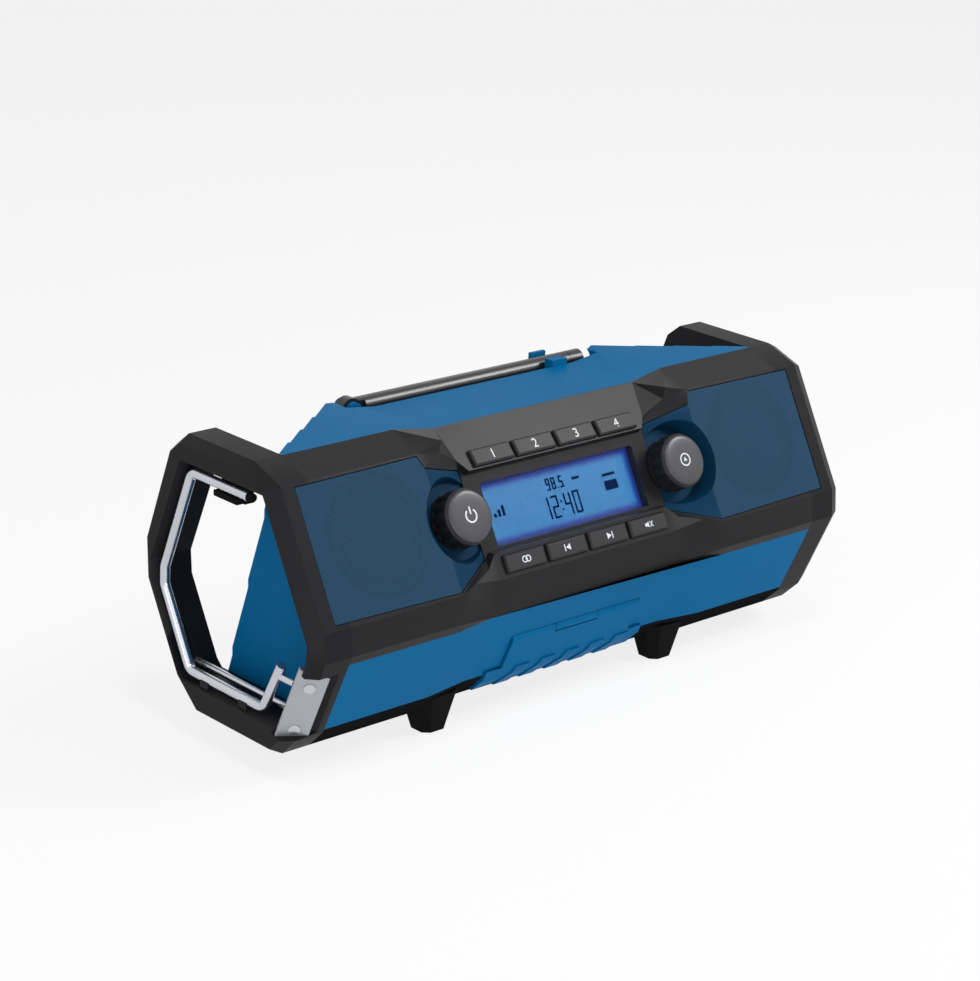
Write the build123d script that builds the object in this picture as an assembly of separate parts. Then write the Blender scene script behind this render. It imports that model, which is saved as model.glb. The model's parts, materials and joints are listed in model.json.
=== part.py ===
from build123d import *
import os
from math import atan2, cos, degrees, radians, sin

# Jobsite radio: a long faceted case between two end rings, with a console in the
# middle of its sloping front, a speaker behind a grille on each side of it, a
# folding rod aerial, a wire hanging hook in the left ring and a battery bay behind.
# Millimetres. X runs along the case, the front faces -Y and Z points up. Heights
# are measured from the case's underside, and every piece is lifted by the feet
# when it is written, so the finished radio stands on Z = 0.

# ---- driving dimensions -------------------------------------------------------
overall_length = 355.0
case_height = 137.0
foot_height = 12.5
ring_width = 22.0            # each end ring, along X
half_length = overall_length / 2
ring_inner_x = half_length - ring_width
ring_chamfer_x = 6.5
ring_chamfer_in = 3.3
face_tilt = 28.4             # front face leans back by this much from upright
face_out = 90.0              # distance of the front face from the bottom centre line
face_top_drop = 15.13        # from the case's top front edge down to the face's top
face_bottom_up = 29.4        # lower end of the front face, measured up along it
top_front_y = -13.0          # where the front meets the flat top
top_rear_y = 38.0
dip_depth = 3.2              # the middle of the top lies this much lower
dip_half_in = 66.5
dip_half_out = 89.6
wall = 2.6                   # case shells
fascia_wall = 3.6
fit_gap = 0.3                # loose fit between a moving and a fixed piece
slide_gap = 0.2              # working clearance round the keys
running_gap = 0.05           # radial clearance of pins and shafts

# ring profile, front bottom round to the rear top (Y, height)
front_knee = (-66.4, 54.5)
front_low = (-46.4, 10.4)
bottom_front = (-35.6, 0.0)
bottom_rear = (24.2, 0.0)
rear_low = (41.0, 14.3)
rear_knee_low = (65.2, 58.3)
rear_knee_high = (66.2, 80.0)
rear_high = (46.8, case_height - 7.0)
front_bar = 8.5              # how thick the ring's front bar is
top_bar = 13.5
rear_bar = 9.0
bottom_bar = 17.0
seam_out = 76.6              # plane that parts the fascia from the case shells
lower_seam_z = 50.0          # lower edge of the fascia
tray_seam_z = 12.0           # upper edge of the bottom tray
top_seam_z = case_height - 21.0  # lower edge of the top shell
case_rear_y = 50.0
end_wall_splay = (61.0, 49.0)    # plan direction of the slanting end walls (X, Y)
end_wall_lean = 0.437            # how far they lean out per millimetre down
end_wall_top_x = ring_inner_x + 2.5  # a point on the end wall, at top height
end_wall_top_y = -17.0
rib_rows = (24.0, 12.0, 0.0)     # steps pressed into the end walls (Y)
rib_step = 1.1

# console
console_half = 58.0
console_side = 61.0
console_out = 80.2           # plane round the display
brow_height = 28.33          # from the case's top front edge down the face
brow_bottom_out = 84.0
ledge_top_up = 44.5
ledge_bottom_up = 31.5
ledge_out = 84.2
shoulder_x = 90.0
bend_x = 88.0                # where the grille panel folds down to the console
display_width = 101.8
display_margin = 9.6         # what the ledge and brow leave above and below it, together
display_drop = 1.95          # it sits this much below the middle between them
key_width = 25.4
key_pitch = 27.6
key_height = 8.6
key_proud = 2.2
key_travel = 1.0
upper_key_offset = 5.3       # key centres above the brow's lower edge
lower_key_up = 38.2
centre_recess = 4.4          # the lower front is set back in the middle
recess_half_in = 66.0
recess_half_out = 92.0

# knobs
knob_x = 72.0
knob_rise = 1.3              # knob centres above the display's centre line
knob_diameter = 28.0
knob_length = 13.0
knob_cap_out = 92.2
knob_flutes = 14
dish_diameter = 48.0
dish_taper = 0.42            # how fast the dish widens outwards
shaft_diameter = 6.0
encoder_size = 13.0
encoder_depth = 7.0

# grilles and speakers
grille_thickness = 1.5
grille_recess = 1.8
grille_gap = 0.4
grille_end_x = ring_inner_x + 7.9
grille_edge_top = 2.0        # frame left above and below the grille
grille_edge_bottom = 2.9
speaker_margin = 10.87       # what the grille's field leaves round the speaker, both sides together
speaker_side_gap = 4.0       # between the speaker and the end ring
speaker_depth = 27.0
speaker_flange = 2.0
magnet_diameter = 34.0
magnet_depth = 9.0

# hook
hook_wire = 5.0
hook_x = half_length - 3.5
hook_low_z = 20.0
hook_top_gap = 2.5           # from the hook's top run to the opening's upper edge
hook_bend = 6.0
guard_rod = 3.4
guard_x = half_length - 11.0

# aerial
aerial_diameter = 10.0
aerial_end_gap = 7.9         # from the aerial's end to the case's slanting end
aerial_y = 38.5
aerial_z = case_height - 5.4
aerial_finger_gap = 5.2      # in front of the aerial, in its channel
knuckle_diameter = 12.0
knuckle_width = 6.0
aerial_pin = 3.0
inner_rod_diameter = 5.0     # the section that draws out of the aerial's tube
tip_length = 10.0

# socket compartment lid in the lower front
lid_half = 43.0
lid_foot_half = 53.0
lid_top_z = 28.5
lid_step_z = 14.0
lid_thickness = 2.4
lid_barrel = 5.0
lid_pin = 2.0
lid_pad_count = 5               # slanted pads along the lid's lower edge
lid_pad_pitch = 17.0
lid_pad_width = 8.5
lid_pad_slant = -24.0
lid_pad_rise = 0.9
lid_pad_top_z = 12.5

# feet
foot_x = 78.0
foot_top = 27.0
foot_bottom = 15.0

# battery bay in the rear
bay_low_x = -70.0
bay_high_x = 62.0
bay_low_z = 22.0
bay_high_z = top_seam_z - 12.0
bay_depth = 45.0
rail_depth = 4.0

board = 1.6                  # circuit board thickness
screw_diameter = 3.0
screw_head = 5.6

# ---- helpers ------------------------------------------------------------------
reach = 400.0                # longer than anything in the model
tilt = radians(face_tilt)


def at(x, up, out):
    """A point given in the front face's own directions."""
    return (x, up * sin(tilt) - out * cos(tilt), up * cos(tilt) + out * sin(tilt))


def face_up_out(y, z):
    """The face's up and out coordinates of a point (Y, height)."""
    return (y * sin(tilt) + z * cos(tilt), -y * cos(tilt) + z * sin(tilt))


FACE = Plane(origin=(0, 0, 0), x_dir=(1, 0, 0), z_dir=(0, -cos(tilt), sin(tilt)))


def on_face(x, up, out):
    return FACE * Pos(x, up, out)


def face_box(x, up, out_low, out_high, width, height):
    """A box square to the front face, between two distances out."""
    return on_face(x, up, (out_low + out_high) / 2) * Box(width, height, out_high - out_low)


def face_rod(x, up, out_low, out_high, diameter):
    return on_face(x, up, (out_low + out_high) / 2) * Cylinder(diameter / 2, out_high - out_low)


def prism(points, low_x, high_x):
    """A profile of (Y, height) points drawn out along X."""
    ring = Wire.make_polygon([(low_x, y, z) for y, z in points], close=True)
    return extrude(Face(ring), amount=high_x - low_x, dir=(1, 0, 0))


def faceted(faces):
    """A closed solid from flat faces, each a list of corner points."""
    sides = []
    for corners in faces:
        for i in range(1, len(corners) - 1):
            sides.append(Face(Wire.make_polygon([corners[0], corners[i], corners[i + 1]], close=True)))
    solid = Solid(Shell(sides))
    if solid.volume < 0:
        return faceted([corners[:1] + corners[:0:-1] for corners in faces])
    return solid.clean()


def mirrored(shape):
    return mirror(shape, about=Plane.YZ)


def sided(shape, side):
    """Keep a right-hand shape, or turn it into its left-hand twin."""
    return shape if side > 0 else mirrored(shape)


def box(low, high):
    size = [h - l for l, h in zip(low, high)]
    centre = [(h + l) / 2 for l, h in zip(low, high)]
    return Pos(*centre) * Box(*size)


def rod_x(low_x, high_x, y, z, diameter):
    return Pos((low_x + high_x) / 2, y, z) * Rot(0, 90, 0) * Cylinder(diameter / 2, high_x - low_x)


def rod_y(x, low_y, high_y, z, diameter):
    return Pos(x, (low_y + high_y) / 2, z) * Rot(90, 0, 0) * Cylinder(diameter / 2, high_y - low_y)


def group(shapes):
    """Several separate solids that share one node."""
    return Compound([solid for shape in shapes for solid in shape.solids()])


pieces = {}


def keep(name, shape):
    pieces[name] = shape


# ---- profiles -----------------------------------------------------------------
top_front = (top_front_y, case_height)
top_up, top_out = face_up_out(*top_front)
face_top_up = top_up - face_top_drop
face_top = at(0, face_top_up, face_out)[1:]
face_bottom = at(0, face_bottom_up, face_out)[1:]
ring_profile = [
    top_front, face_top, face_bottom, front_knee, front_low, bottom_front,
    bottom_rear, rear_low, rear_knee_low, rear_knee_high, rear_high, (top_rear_y, case_height),
]


def front_y(z, out):
    """Y of the plane that lies at a distance out, at one height."""
    return (z * sin(tilt) - out) / cos(tilt)


def along(start, end, z):
    """Y on the line between two profile points, at one height."""
    return start[0] + (z - start[1]) / (end[1] - start[1]) * (end[0] - start[0])


inner_out = face_out - front_bar
opening_top = case_height - top_bar
hook_top_z = opening_top - hook_top_gap
opening_low_y = along(front_low, front_knee, bottom_bar) + rear_bar
opening_profile = [
    (front_y(opening_top, inner_out), opening_top),
    (front_y(front_knee[1] + 8.5, inner_out), front_knee[1] + 8.5),
    (front_knee[0] + rear_bar - 0.6, front_knee[1]),
    (opening_low_y, bottom_bar),
    (rear_low[0] - rear_bar, bottom_bar),
    (rear_low[0] - rear_bar + 4.0, bottom_bar + 3.5),
    (rear_knee_low[0] - rear_bar + 0.6, rear_knee_low[1]),
    (rear_knee_high[0] - rear_bar + 0.4, rear_knee_high[1] - 10.0),
    (along(rear_high, rear_knee_high, opening_top) - 1.6 * rear_bar, opening_top),
]

# ---- front fascia --------------------------------------------------------------
knee_up, knee_out = face_up_out(*front_knee)
lower_edge = (along(front_low, front_knee, lower_seam_z), lower_seam_z)
fascia_back_y = -30.0
brow_bottom_up = top_up - brow_height
brow_bottom_z = at(0, brow_bottom_up, brow_bottom_out)[2]
display_height = brow_bottom_up - ledge_top_up - display_margin
display_up = (brow_bottom_up + ledge_top_up) / 2 - display_drop
knob_up = display_up + knob_rise
grille_top_up = face_top_up - grille_edge_top
grille_bottom_up = face_bottom_up + grille_edge_bottom
speaker_diameter = min(ring_inner_x - shoulder_x, grille_top_up - grille_bottom_up) - speaker_margin
speaker_x = ring_inner_x - speaker_side_gap - speaker_diameter / 2
speaker_up = (grille_top_up + grille_bottom_up) / 2


def brow_out(up):
    share = (top_up - up) / (top_up - brow_bottom_up)
    return top_out + share * (brow_bottom_out - top_out)


dip_up = top_up - dip_depth / (case_height - brow_bottom_z) * brow_height
horn_up = top_up - 11.5      # the shoulders' foremost corners
notch_up = top_up - 16.7
valley_up = top_up - 22.3
leaf_top_up = top_up - 22.8


def fascia_corners(inset):
    """Corner points of the fascia's right half, the outside or the inside of its wall."""
    w = inset
    far = ring_inner_x - w if w else ring_inner_x + 10.0
    low = lower_seam_z - (4.0 if w else 0.0)
    back = fascia_back_y + (8.0 if w else 0.0)
    side_out = console_out - w
    return {
        "a0": at(dip_half_in, dip_up - 0.7 * w, brow_out(dip_up) - w),
        "a1": at(dip_half_out, top_up - 0.7 * w, top_out - w),
        "a2": at(far, top_up - 0.7 * w, top_out - w),
        "t1": at(shoulder_x, face_top_up - 0.4 * w, face_out - w),
        "t2": at(far, face_top_up - 0.4 * w, face_out - w),
        "b1": at(bend_x, face_bottom_up + 0.3 * w, face_out - w),
        "b2": at(far, face_bottom_up + 0.3 * w, face_out - w),
        "n1": at(shoulder_x, knee_up + 0.2 * w, knee_out - w),
        "n2": at(far, knee_up + 0.2 * w, knee_out - w),
        "l1": (shoulder_x, lower_edge[0] + w + (low - lower_seam_z) * -0.45, low),
        "l2": (far, lower_edge[0] + w + (low - lower_seam_z) * -0.45, low),
        "l0": (64.0, lower_edge[0] + centre_recess + w, low),
        "r": at(75.0, horn_up, face_out + 1.0 - w),
        "q": at(74.8, notch_up, face_out - 2.8 - w),
        "v": at(62.3, valley_up + 0.5 * w, brow_out(valley_up) - w),
        "k1": at(console_half, brow_bottom_up + 0.8 * w, brow_bottom_out - w),
        "k2": at(console_half, brow_bottom_up - 1.4 + 0.8 * w, side_out),
        "k3": at(console_half, ledge_top_up + 1.5 - 0.8 * w, side_out),
        "k4": at(console_half, ledge_top_up - 0.8 * w, ledge_out - w),
        "k5": at(console_half, ledge_bottom_up + 0.4 * w, ledge_out + 0.3 - w),
        "g1": at(bend_x, leaf_top_up, face_out - w),
        "g2": at(console_side, brow_bottom_up + 2.0 + 0.4 * w, side_out),
        "g3": at(console_side, ledge_top_up - 1.5 - 0.4 * w, side_out),
        "w1": at(64.0, 38.0, ledge_out + 0.4 - w),
        "w2": at(77.0, 33.2, face_out - 1.8 - w),
        "c2": (far, back, low),
        "c1": (far, back + top_front_y - fascia_back_y + 3.0, case_height - 0.7 * w),
    }


half_faces = [
    "a1 a2 t2 t1", "t1 t2 b2 b1 g1", "b1 b2 n2 n1", "n1 n2 l2 l1",
    "a0 a1 r", "a1 t1 r", "r t1 q", "a0 r q", "a0 q v",
    "t1 g1 q", "q g1 g2", "q g2 v", "g1 b1 g3", "g1 g3 g2",
    "v g2 k1", "g2 k2 k1", "k2 g2 g3", "k2 g3 k3",
    "k3 g3 w1", "k3 w1 k4", "k4 w1 k5", "g3 b1 w2", "g3 w2 w1",
    "w1 w2 k5", "w2 b1 n1", "k5 w2 l0", "w2 n1 l0", "n1 l1 l0",
    "a2 c1 c2 l2 n2", "a2 n2 b2", "a2 b2 t2",
]
across_faces = [
    "-a0 a0 v k1 -k1 -v", "-k1 k1 k2 -k2", "-k2 k2 k3 -k3", "-k3 k3 k4 -k4",
    "-k4 k4 k5 -k5", "-k5 k5 l0 -l0", "-l0 l0 l1 l2 c2 -c2 -l2 -l1",
    "-c1 c1 a2 a1 -a1 -a2", "-a1 a1 a0 -a0", "-c2 c2 c1 -c1",
]


def fascia_block(inset):
    corner = fascia_corners(inset)
    for name in list(corner):
        x, y, z = corner[name]
        corner["-" + name] = (-x, y, z)
    faces = []
    for line in half_faces:
        names = line.split()
        faces.append([corner[n] for n in names])
        faces.append([corner["-" + n] for n in reversed(names)])
    for line in across_faces:
        faces.append([corner[n] for n in line.split()])
    return faceted(faces)


def dip_block(drop):
    """What is taken off the top so that its middle lies lower than its ends."""
    low, high = case_height - dip_depth - drop, case_height - drop
    corners = [(-dip_half_out, high), (-dip_half_in, low), (dip_half_in, low), (dip_half_out, high),
               (dip_half_out, reach), (-dip_half_out, reach)]
    outline = Face(Wire.make_polygon([(x, -reach / 2, z) for x, z in corners], close=True))
    return extrude(outline, amount=reach, dir=(0, 1, 0))


between_rings = box((-ring_inner_x, -reach, 0), (ring_inner_x, reach, reach))
fascia_solid = (fascia_block(0) & between_rings) - dip_block(0)
fascia_hollow = fascia_block(fascia_wall) - dip_block(fascia_wall)
mouth_top = dip_up - 1.6 * wall
behind_seam = face_box(0, 0, seam_out - reach, seam_out, 2 * reach, 2 * reach)
centre_room = box((-shoulder_x - 5, -reach, 0), (shoulder_x + 5, reach, reach))
top_lap = face_box(0, mouth_top - 0.6 + reach / 2, seam_out - reach, seam_out, 2 * reach, reach)
fascia = fascia_solid - fascia_hollow
fascia = fascia - (behind_seam - centre_room)
fascia = fascia - top_lap

# ---- speaker grilles and their pockets -------------------------------------------


def grille_layer(side, out_drop, spread, thickness):
    """The grille panel's shape: a flat field and the leaf that folds down to the console."""
    low_up, high_up = grille_bottom_up - spread, grille_top_up + spread
    bend_high, bend_low = leaf_top_up + spread, grille_bottom_up - 1.3 - spread
    inner_high, inner_low = brow_bottom_up + 1.4 + spread, ledge_top_up - 1.1 - spread
    field = [
        (grille_end_x + spread, low_up), (grille_end_x + spread, high_up),
        (shoulder_x + 1, high_up + 0.8), (bend_x, bend_high), (bend_x, bend_low),
    ]
    leaf_fall = (face_out - console_out) / (bend_x - console_side)
    inner_x = console_side + 0.5 - spread
    inner_out_at = console_out + (inner_x - console_side) * leaf_fall
    solids = []
    flat = [at(x, up, face_out - out_drop) for x, up in field]
    leaf = [
        at(bend_x, bend_high, face_out - out_drop), at(bend_x, bend_low, face_out - out_drop),
        at(inner_x, inner_low, inner_out_at - out_drop), at(inner_x, inner_high, inner_out_at - out_drop),
    ]
    inward = (0, cos(tilt), -sin(tilt))
    for corners in (flat, leaf):
        solids.append(extrude(Face(Wire.make_polygon(corners, close=True)), amount=thickness, dir=inward))
    return sided(solids[0] + solids[1], side)


def dish_cone(side, grow, low_out, high_out):
    """The round hollow about a knob, opening outwards."""
    height = high_out - low_out
    low = dish_diameter / 2 - 5.0 + grow
    spot = on_face(side * knob_x, knob_up, low_out + height / 2)
    return spot * Cone(low, low + height * dish_taper, height)


dish_floor = knob_cap_out - knob_length - 0.4
dish_skin = 1.2
console_side_clear = console_side + 0.5
shaft_hole = shaft_diameter + 1.2
grilles = {}
for side, hand in ((1, "right"), (-1, "left")):
    cup_side = sided(box((console_side_clear, -reach, 0), (reach, reach, reach)), side)
    backing_side = sided(box((console_half - 1.5, -reach, 0), (reach, reach, reach)), side)
    backing = dish_cone(side, 2 * dish_skin, dish_floor - dish_skin - 2.2, dish_floor + 5.4) & backing_side
    fascia = fascia + (backing & fascia_solid)
    fascia = fascia - grille_layer(side, -5.0, grille_gap, 5.0 + grille_recess)
    seat = dish_cone(side, dish_skin, dish_floor - dish_skin, face_out + 3.0) & cup_side
    well = face_rod(side * knob_x, knob_up, dish_floor, face_out + 3.0, knob_diameter + 2.4)
    fascia = fascia - seat - well
    fascia = fascia - face_rod(side * speaker_x, speaker_up, 70, face_out + 3.0, speaker_diameter - 6.0)
    panel = grille_layer(side, 0.3, 0.0, grille_thickness)
    cup = dish_cone(side, dish_skin, dish_floor - dish_skin, face_out) & cup_side
    cup = cup & grille_layer(side, 0.3, 0.0, 30.0)
    panel = (panel + cup) - dish_cone(side, 0.0, dish_floor, face_out + 3.0)
    panel = panel - face_rod(side * knob_x, knob_up, 60, face_out, 9.0)
    grilles[side] = panel
    fascia = fascia - face_rod(side * knob_x, knob_up, 60, face_out, shaft_hole)

# ---- console openings ---------------------------------------------------------------
brow_lean = atan2(top_up - brow_bottom_up, brow_bottom_out - top_out)


def face_direction(up, out):
    """A direction given as up and out shares, turned into the case's own axes."""
    start, end = at(0, 0, 0), at(0, up, out)
    return (0, end[1] - start[1], end[2] - start[2])


BROW = Plane(
    origin=at(0, brow_bottom_up, brow_bottom_out), x_dir=(1, 0, 0),
    z_dir=face_direction(cos(brow_lean), sin(brow_lean)),
)
LEDGE = Plane(origin=at(0, lower_key_up, ledge_out + 0.15), x_dir=(1, 0, 0), z_dir=face_direction(0, 1))
key_columns = [(i - 1.5) * key_pitch for i in range(4)]
upper_depth = 6.4
lower_depth = 8.8
stem_length = 1.2
switch_height = 4.6
preset_names = ("preset_key_1", "preset_key_2", "preset_key_3", "preset_key_4")
command_names = ("link_key", "previous_key", "next_key", "mute_key")
key_rows = {
    "upper": (BROW, upper_key_offset, upper_depth, 1.6, preset_names),
    "lower": (LEDGE, 0.0, lower_depth, -1.0, command_names),
}
switches = []
for row, (plane, row_y, depth, ear_offset, names) in key_rows.items():
    for x, name in zip(key_columns, names):
        hole = plane * Pos(x, row_y, 0) * Box(key_width + 2 * slide_gap, key_height + 2 * slide_gap, 60)
        key_room = plane * Pos(x, row_y, 2 - (depth + 6) / 2) * Box(200, 60, depth + 10)
        fascia = fascia - (hole & key_room)
        cap_height = depth + key_proud
        cap = Box(key_width, key_height, cap_height)
        cap = chamfer(cap.faces().sort_by(Axis.Z)[-1].edges(), 0.8)
        key = Pos(x, row_y, key_proud - cap_height / 2) * cap
        flange_z = -depth + 0.5
        key = key + Pos(x, row_y + ear_offset, flange_z) * Box(key_width + 1.6, 4.0, 1.0)
        stem_low = -depth - stem_length
        key = key + Pos(x, row_y, -depth - stem_length / 2) * Cylinder(1.6, stem_length)
        keep(name, plane * key)
        switch_top = stem_low - key_travel - 0.3
        switch = Pos(x, row_y, switch_top - switch_height / 2 - 0.4) * Box(6, 6, switch_height - 0.8)
        switch = switch + Pos(x, row_y, switch_top - 0.6) * Cylinder(1.5, 1.2)
        switches.append(plane * switch)
    board_top = switch_top - switch_height
    sheet = plane * Pos(0, row_y, board_top - board / 2) * Box(4 * key_pitch + 4, 10.4, board)
    keep(row + "_key_board", sheet)

# ---- display ------------------------------------------------------------------------
window = face_box(0, display_up, 60, 90, display_width, display_height)
fascia = fascia - window
inner_face = console_out - fascia_wall
lens_flange = 1.4
lens = face_box(0, display_up, inner_face, console_out - 0.2, display_width - 0.2, display_height - 0.2)
rim_width = display_width + 5
lens = lens + face_box(0, display_up, inner_face - lens_flange, inner_face, rim_width, display_height + 4)
keep("display_lens", lens)
module_front = inner_face - lens_flange
module_depth = 5.2
module = face_box(0, display_up, module_front - module_depth, module_front, rim_width, display_height + 2.6)
glass_back = module_front - 1.8
glass_width = display_width + 1
glass_room = face_box(0, display_up, glass_back, module_front + 1, glass_width, display_height)
keep("display_frame", module - glass_room)
keep("display_panel", face_box(0, display_up, glass_back, module_front, glass_width, display_height))
board_back = module_front - module_depth - board
board_front = board_back + board
keep("display_board", face_box(0, display_up, board_back, board_front, rim_width, display_height + 3.4))
keep("key_switches", group(switches))

# board posts behind the console
post_x = 56.2
for x in (-post_x, post_x):
    for plane, row_y, drop, ear_offset, names in key_rows.values():
        top = -drop - stem_length - key_travel - 0.3 - switch_height
        fascia = fascia + plane * Pos(x, row_y, (top - 2.0) / 2) * Box(1.8, 7.0, -top - 2.0)

# ---- knobs and their encoders ---------------------------------------------------------
knob_base_out = knob_cap_out - knob_length
encoder_front = dish_floor - dish_skin - 2.2
for side, name in ((-1, "power"), (1, "source")):
    base = Cylinder(knob_diameter / 2, knob_length)
    base = chamfer(base.faces().sort_by(Axis.Z)[-1].edges(), 1.2)
    flute = Pos(knob_diameter / 2 + 0.9, 0, -0.6) * Cylinder(2.1, knob_length - 3.6)
    for i in range(knob_flutes):
        base = base - Rot(0, 0, 360.0 / knob_flutes * i) * flute
    base = base - Pos(0, 0, -knob_length / 2 + 4.0) * Cylinder(shaft_diameter / 2, 8.0)
    keep(name + "_knob", on_face(side * knob_x, knob_up, knob_base_out + knob_length / 2) * base)
    shaft_low = encoder_front - encoder_depth + 1.5
    shaft = face_rod(side * knob_x, knob_up, shaft_low, knob_base_out + 8.0, shaft_diameter)
    keep(name + "_dial_shaft", shaft)
    encoder_back = encoder_front - encoder_depth
    body = face_box(side * knob_x, knob_up, encoder_back, encoder_front, encoder_size, encoder_size)
    body = body + face_rod(side * knob_x, knob_up, encoder_front, knob_base_out - 0.4, 7.0)
    body = body - face_rod(side * knob_x, knob_up, shaft_low - 0.2, 95, shaft_diameter + 2 * running_gap)
    keep(name + "_encoder", body)

# ---- speakers --------------------------------------------------------------------------
fascia_inner = face_out - fascia_wall
flange_width = speaker_diameter + 0.4
for side, hand in ((1, "right"), (-1, "left")):
    x = side * speaker_x
    rim = face_box(x, speaker_up, fascia_inner - speaker_flange, fascia_inner, flange_width, flange_width)
    basket_low = fascia_inner - speaker_depth + magnet_depth
    depth = fascia_inner - speaker_flange - basket_low
    centre = on_face(x, speaker_up, basket_low + depth / 2)
    basket = rim + centre * Cone(magnet_diameter / 2 + 1, speaker_diameter / 2, depth)
    cone_top = speaker_diameter / 2 - 3.0
    hollow_cone = on_face(x, speaker_up, basket_low + 2.0 + (depth + speaker_flange) / 2)
    basket = basket - hollow_cone * Cone(magnet_diameter / 2 - 2.2, cone_top, depth + speaker_flange)
    keep("speaker_basket_" + hand, basket)
    outer = hollow_cone * Cone(magnet_diameter / 2 - 2.2, cone_top, depth + speaker_flange)
    inner = hollow_cone * Pos(0, 0, 1.2) * Cone(magnet_diameter / 2 - 2.2, cone_top, depth + speaker_flange)
    trim = face_box(x, speaker_up, basket_low, fascia_inner - 0.6, 90, 90)
    keep("speaker_cone_" + hand, (outer - inner) & trim)
    magnet = face_rod(x, speaker_up, basket_low - magnet_depth, basket_low, magnet_diameter)
    keep("speaker_magnet_" + hand, magnet)

# ---- end rings ----------------------------------------------------------------------------
def ring_outline(inner_x, outer_x):
    body = prism(ring_profile, inner_x, outer_x - ring_chamfer_x)
    face = body.faces().sort_by(Axis.X)[-1]
    slope = degrees(atan2(ring_chamfer_in, ring_chamfer_x))
    return body + extrude(face, amount=ring_chamfer_x, taper=slope)


opening = prism(opening_profile, ring_inner_x - 1, half_length + 1)
mouth_depth = 4.5
mouth_spread = 2.2
mouth_start = prism(opening_profile, ring_inner_x, half_length - mouth_depth).faces().sort_by(Axis.X)[-1]
mouth_flare = -degrees(atan2(mouth_spread, mouth_depth))
ring_mouth = extrude(mouth_start, amount=mouth_depth + 0.4, taper=mouth_flare)
ring_base = ring_outline(ring_inner_x, half_length) - opening - ring_mouth
ring_base = ring_base - grille_layer(1, -5.0, grille_gap, 5.0 + grille_recess)
right_ring = ring_base

# the left ring carries the hanging hook
front_start_z = 46.0
hook_points = [
    (-13.0, hook_top_z - 0.4), (31.0, hook_top_z - 0.4), (52.9, 67.0), (53.2, 58.0),
    (32.5, hook_low_z), (-25.0, hook_low_z), (-38.5, front_start_z),
]
hook_path = FilletPolyline(*[(-hook_x, y, z) for y, z in hook_points], radius=hook_bend)
hook_section = Plane(origin=hook_path @ 0, z_dir=hook_path % 0) * Circle(hook_wire / 2)
hook = sweep(hook_section, path=hook_path)
peg_z = 40.0
peg_y = along(hook_points[-2], hook_points[-1], peg_z)
plate_inner_y = along(front_low, front_knee, peg_z) + rear_bar

# seat and plate across the ring's front lower corner
plate_thickness = 2.2
plate_inner_high_z = 50.5
plate_outer_high_z = 44.5
plate_low_z = 11.0
plate_inboard_x = half_length - 13.5


def plate_corner(z, share):
    """A point across the plate: share 0 is the opening's edge, share 1 the outer edge."""
    y = along(front_low, front_knee, z) + rear_bar * (1 - share)
    return Vector(-half_length + share * (half_length - plate_inboard_x), y, z)


def plate_slab(low_share, high_share, low, high):
    """The plate's outline as a slab, from one depth to another along its normal."""
    corners = [
        plate_corner(plate_inner_high_z, low_share), plate_corner(plate_outer_high_z, high_share),
        plate_corner(plate_low_z, high_share), plate_corner(plate_low_z, low_share),
    ]
    sheet = [c + plate_normal * low for c in corners]
    return extrude(Face(Wire.make_polygon(sheet, close=True)), amount=high - low, dir=plate_normal)


plate_run = plate_corner(plate_low_z, 1) - plate_corner(plate_outer_high_z, 1)
plate_across = plate_corner(plate_low_z, 0) - plate_corner(plate_low_z, 1)
plate_normal = plate_run.cross(plate_across).normalized()
if plate_normal.X > 0:
    plate_normal = plate_normal * -1
plate = plate_slab(0.02, 0.98, -plate_thickness, 0)
seat_cut = plate_slab(-0.6, 1.6, -plate_thickness, 16.0)

peg = rod_y(-hook_x, plate_inner_y + 2.6, peg_y + 1.0, peg_z, guard_rod)
keep("hanging_hook", hook + peg)

left_ring = mirrored(ring_base) - seat_cut
relief_depth = 9.5           # room for the hook's rear run, cut into the ring's lower corner
relief_low_z = bottom_bar - 1.6
relief = box((-half_length - 1, 22.0, relief_low_z), (relief_depth - half_length, 46.0, relief_low_z + 28.6))
relief_profile = [(y + 3.4, z - 1.6) for y, z in opening_profile]
left_ring = left_ring - (relief & prism(relief_profile, -half_length - 1, relief_depth - half_length))
saddles = []
for y in (-12.0, 18.0):
    block = box((-hook_x - 2.8, y - 3, bottom_bar - 1), (-hook_x + 3.0, y + 3, hook_low_z - 0.6))
    saddles.append(block - rod_y(-hook_x, y - 9, y + 9, hook_low_z, hook_wire + 4 * running_gap))
for saddle in saddles:
    left_ring = left_ring + saddle
rod_low_y = -45.3
rod_high_y = rear_low[0] - rear_bar + 6.0
guard_z = bottom_bar + 4.5
guard = rod_y(-guard_x, rod_low_y, rod_high_y, guard_z, guard_rod)
keep("hook_guard_rod", guard)
left_ring = left_ring - guard
latch = box((-hook_x + 2.7, -6, hook_top_z - 7), (-hook_x + 8, 12, opening_top))
latch = latch + box((-hook_x - 2.0, -6, hook_top_z - 6.4), (-hook_x + 5, 12, hook_top_z - 3.5))
keep("hook_clip", latch)
rivets = []
for z in (15.0, 39.0):
    spot = Plane(origin=plate_corner(z, 0.5), z_dir=plate_normal)
    rivets.append(spot * Pos(0, 0, -2.5) * Cylinder(1.5, 5.0) + spot * Pos(0, 0, -0.4) * Cylinder(2.8, 1.4))
left_ring = left_ring - rivets[0] - rivets[1] - plate
pieces["hook_plate"] = plate - rivets[0] - rivets[1]
keep("plate_rivets", group(rivets))

# ---- case shells ------------------------------------------------------------------------
case_profile = [
    top_front, (top_rear_y, case_height), (case_rear_y - 3.0, case_height - 10.0),
    (case_rear_y, case_height - 37.0), (case_rear_y, 30.0), (36.0, 7.0),
    bottom_rear, bottom_front, front_low, lower_edge,
    (front_y(lower_seam_z, seam_out), lower_seam_z),
]


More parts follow.
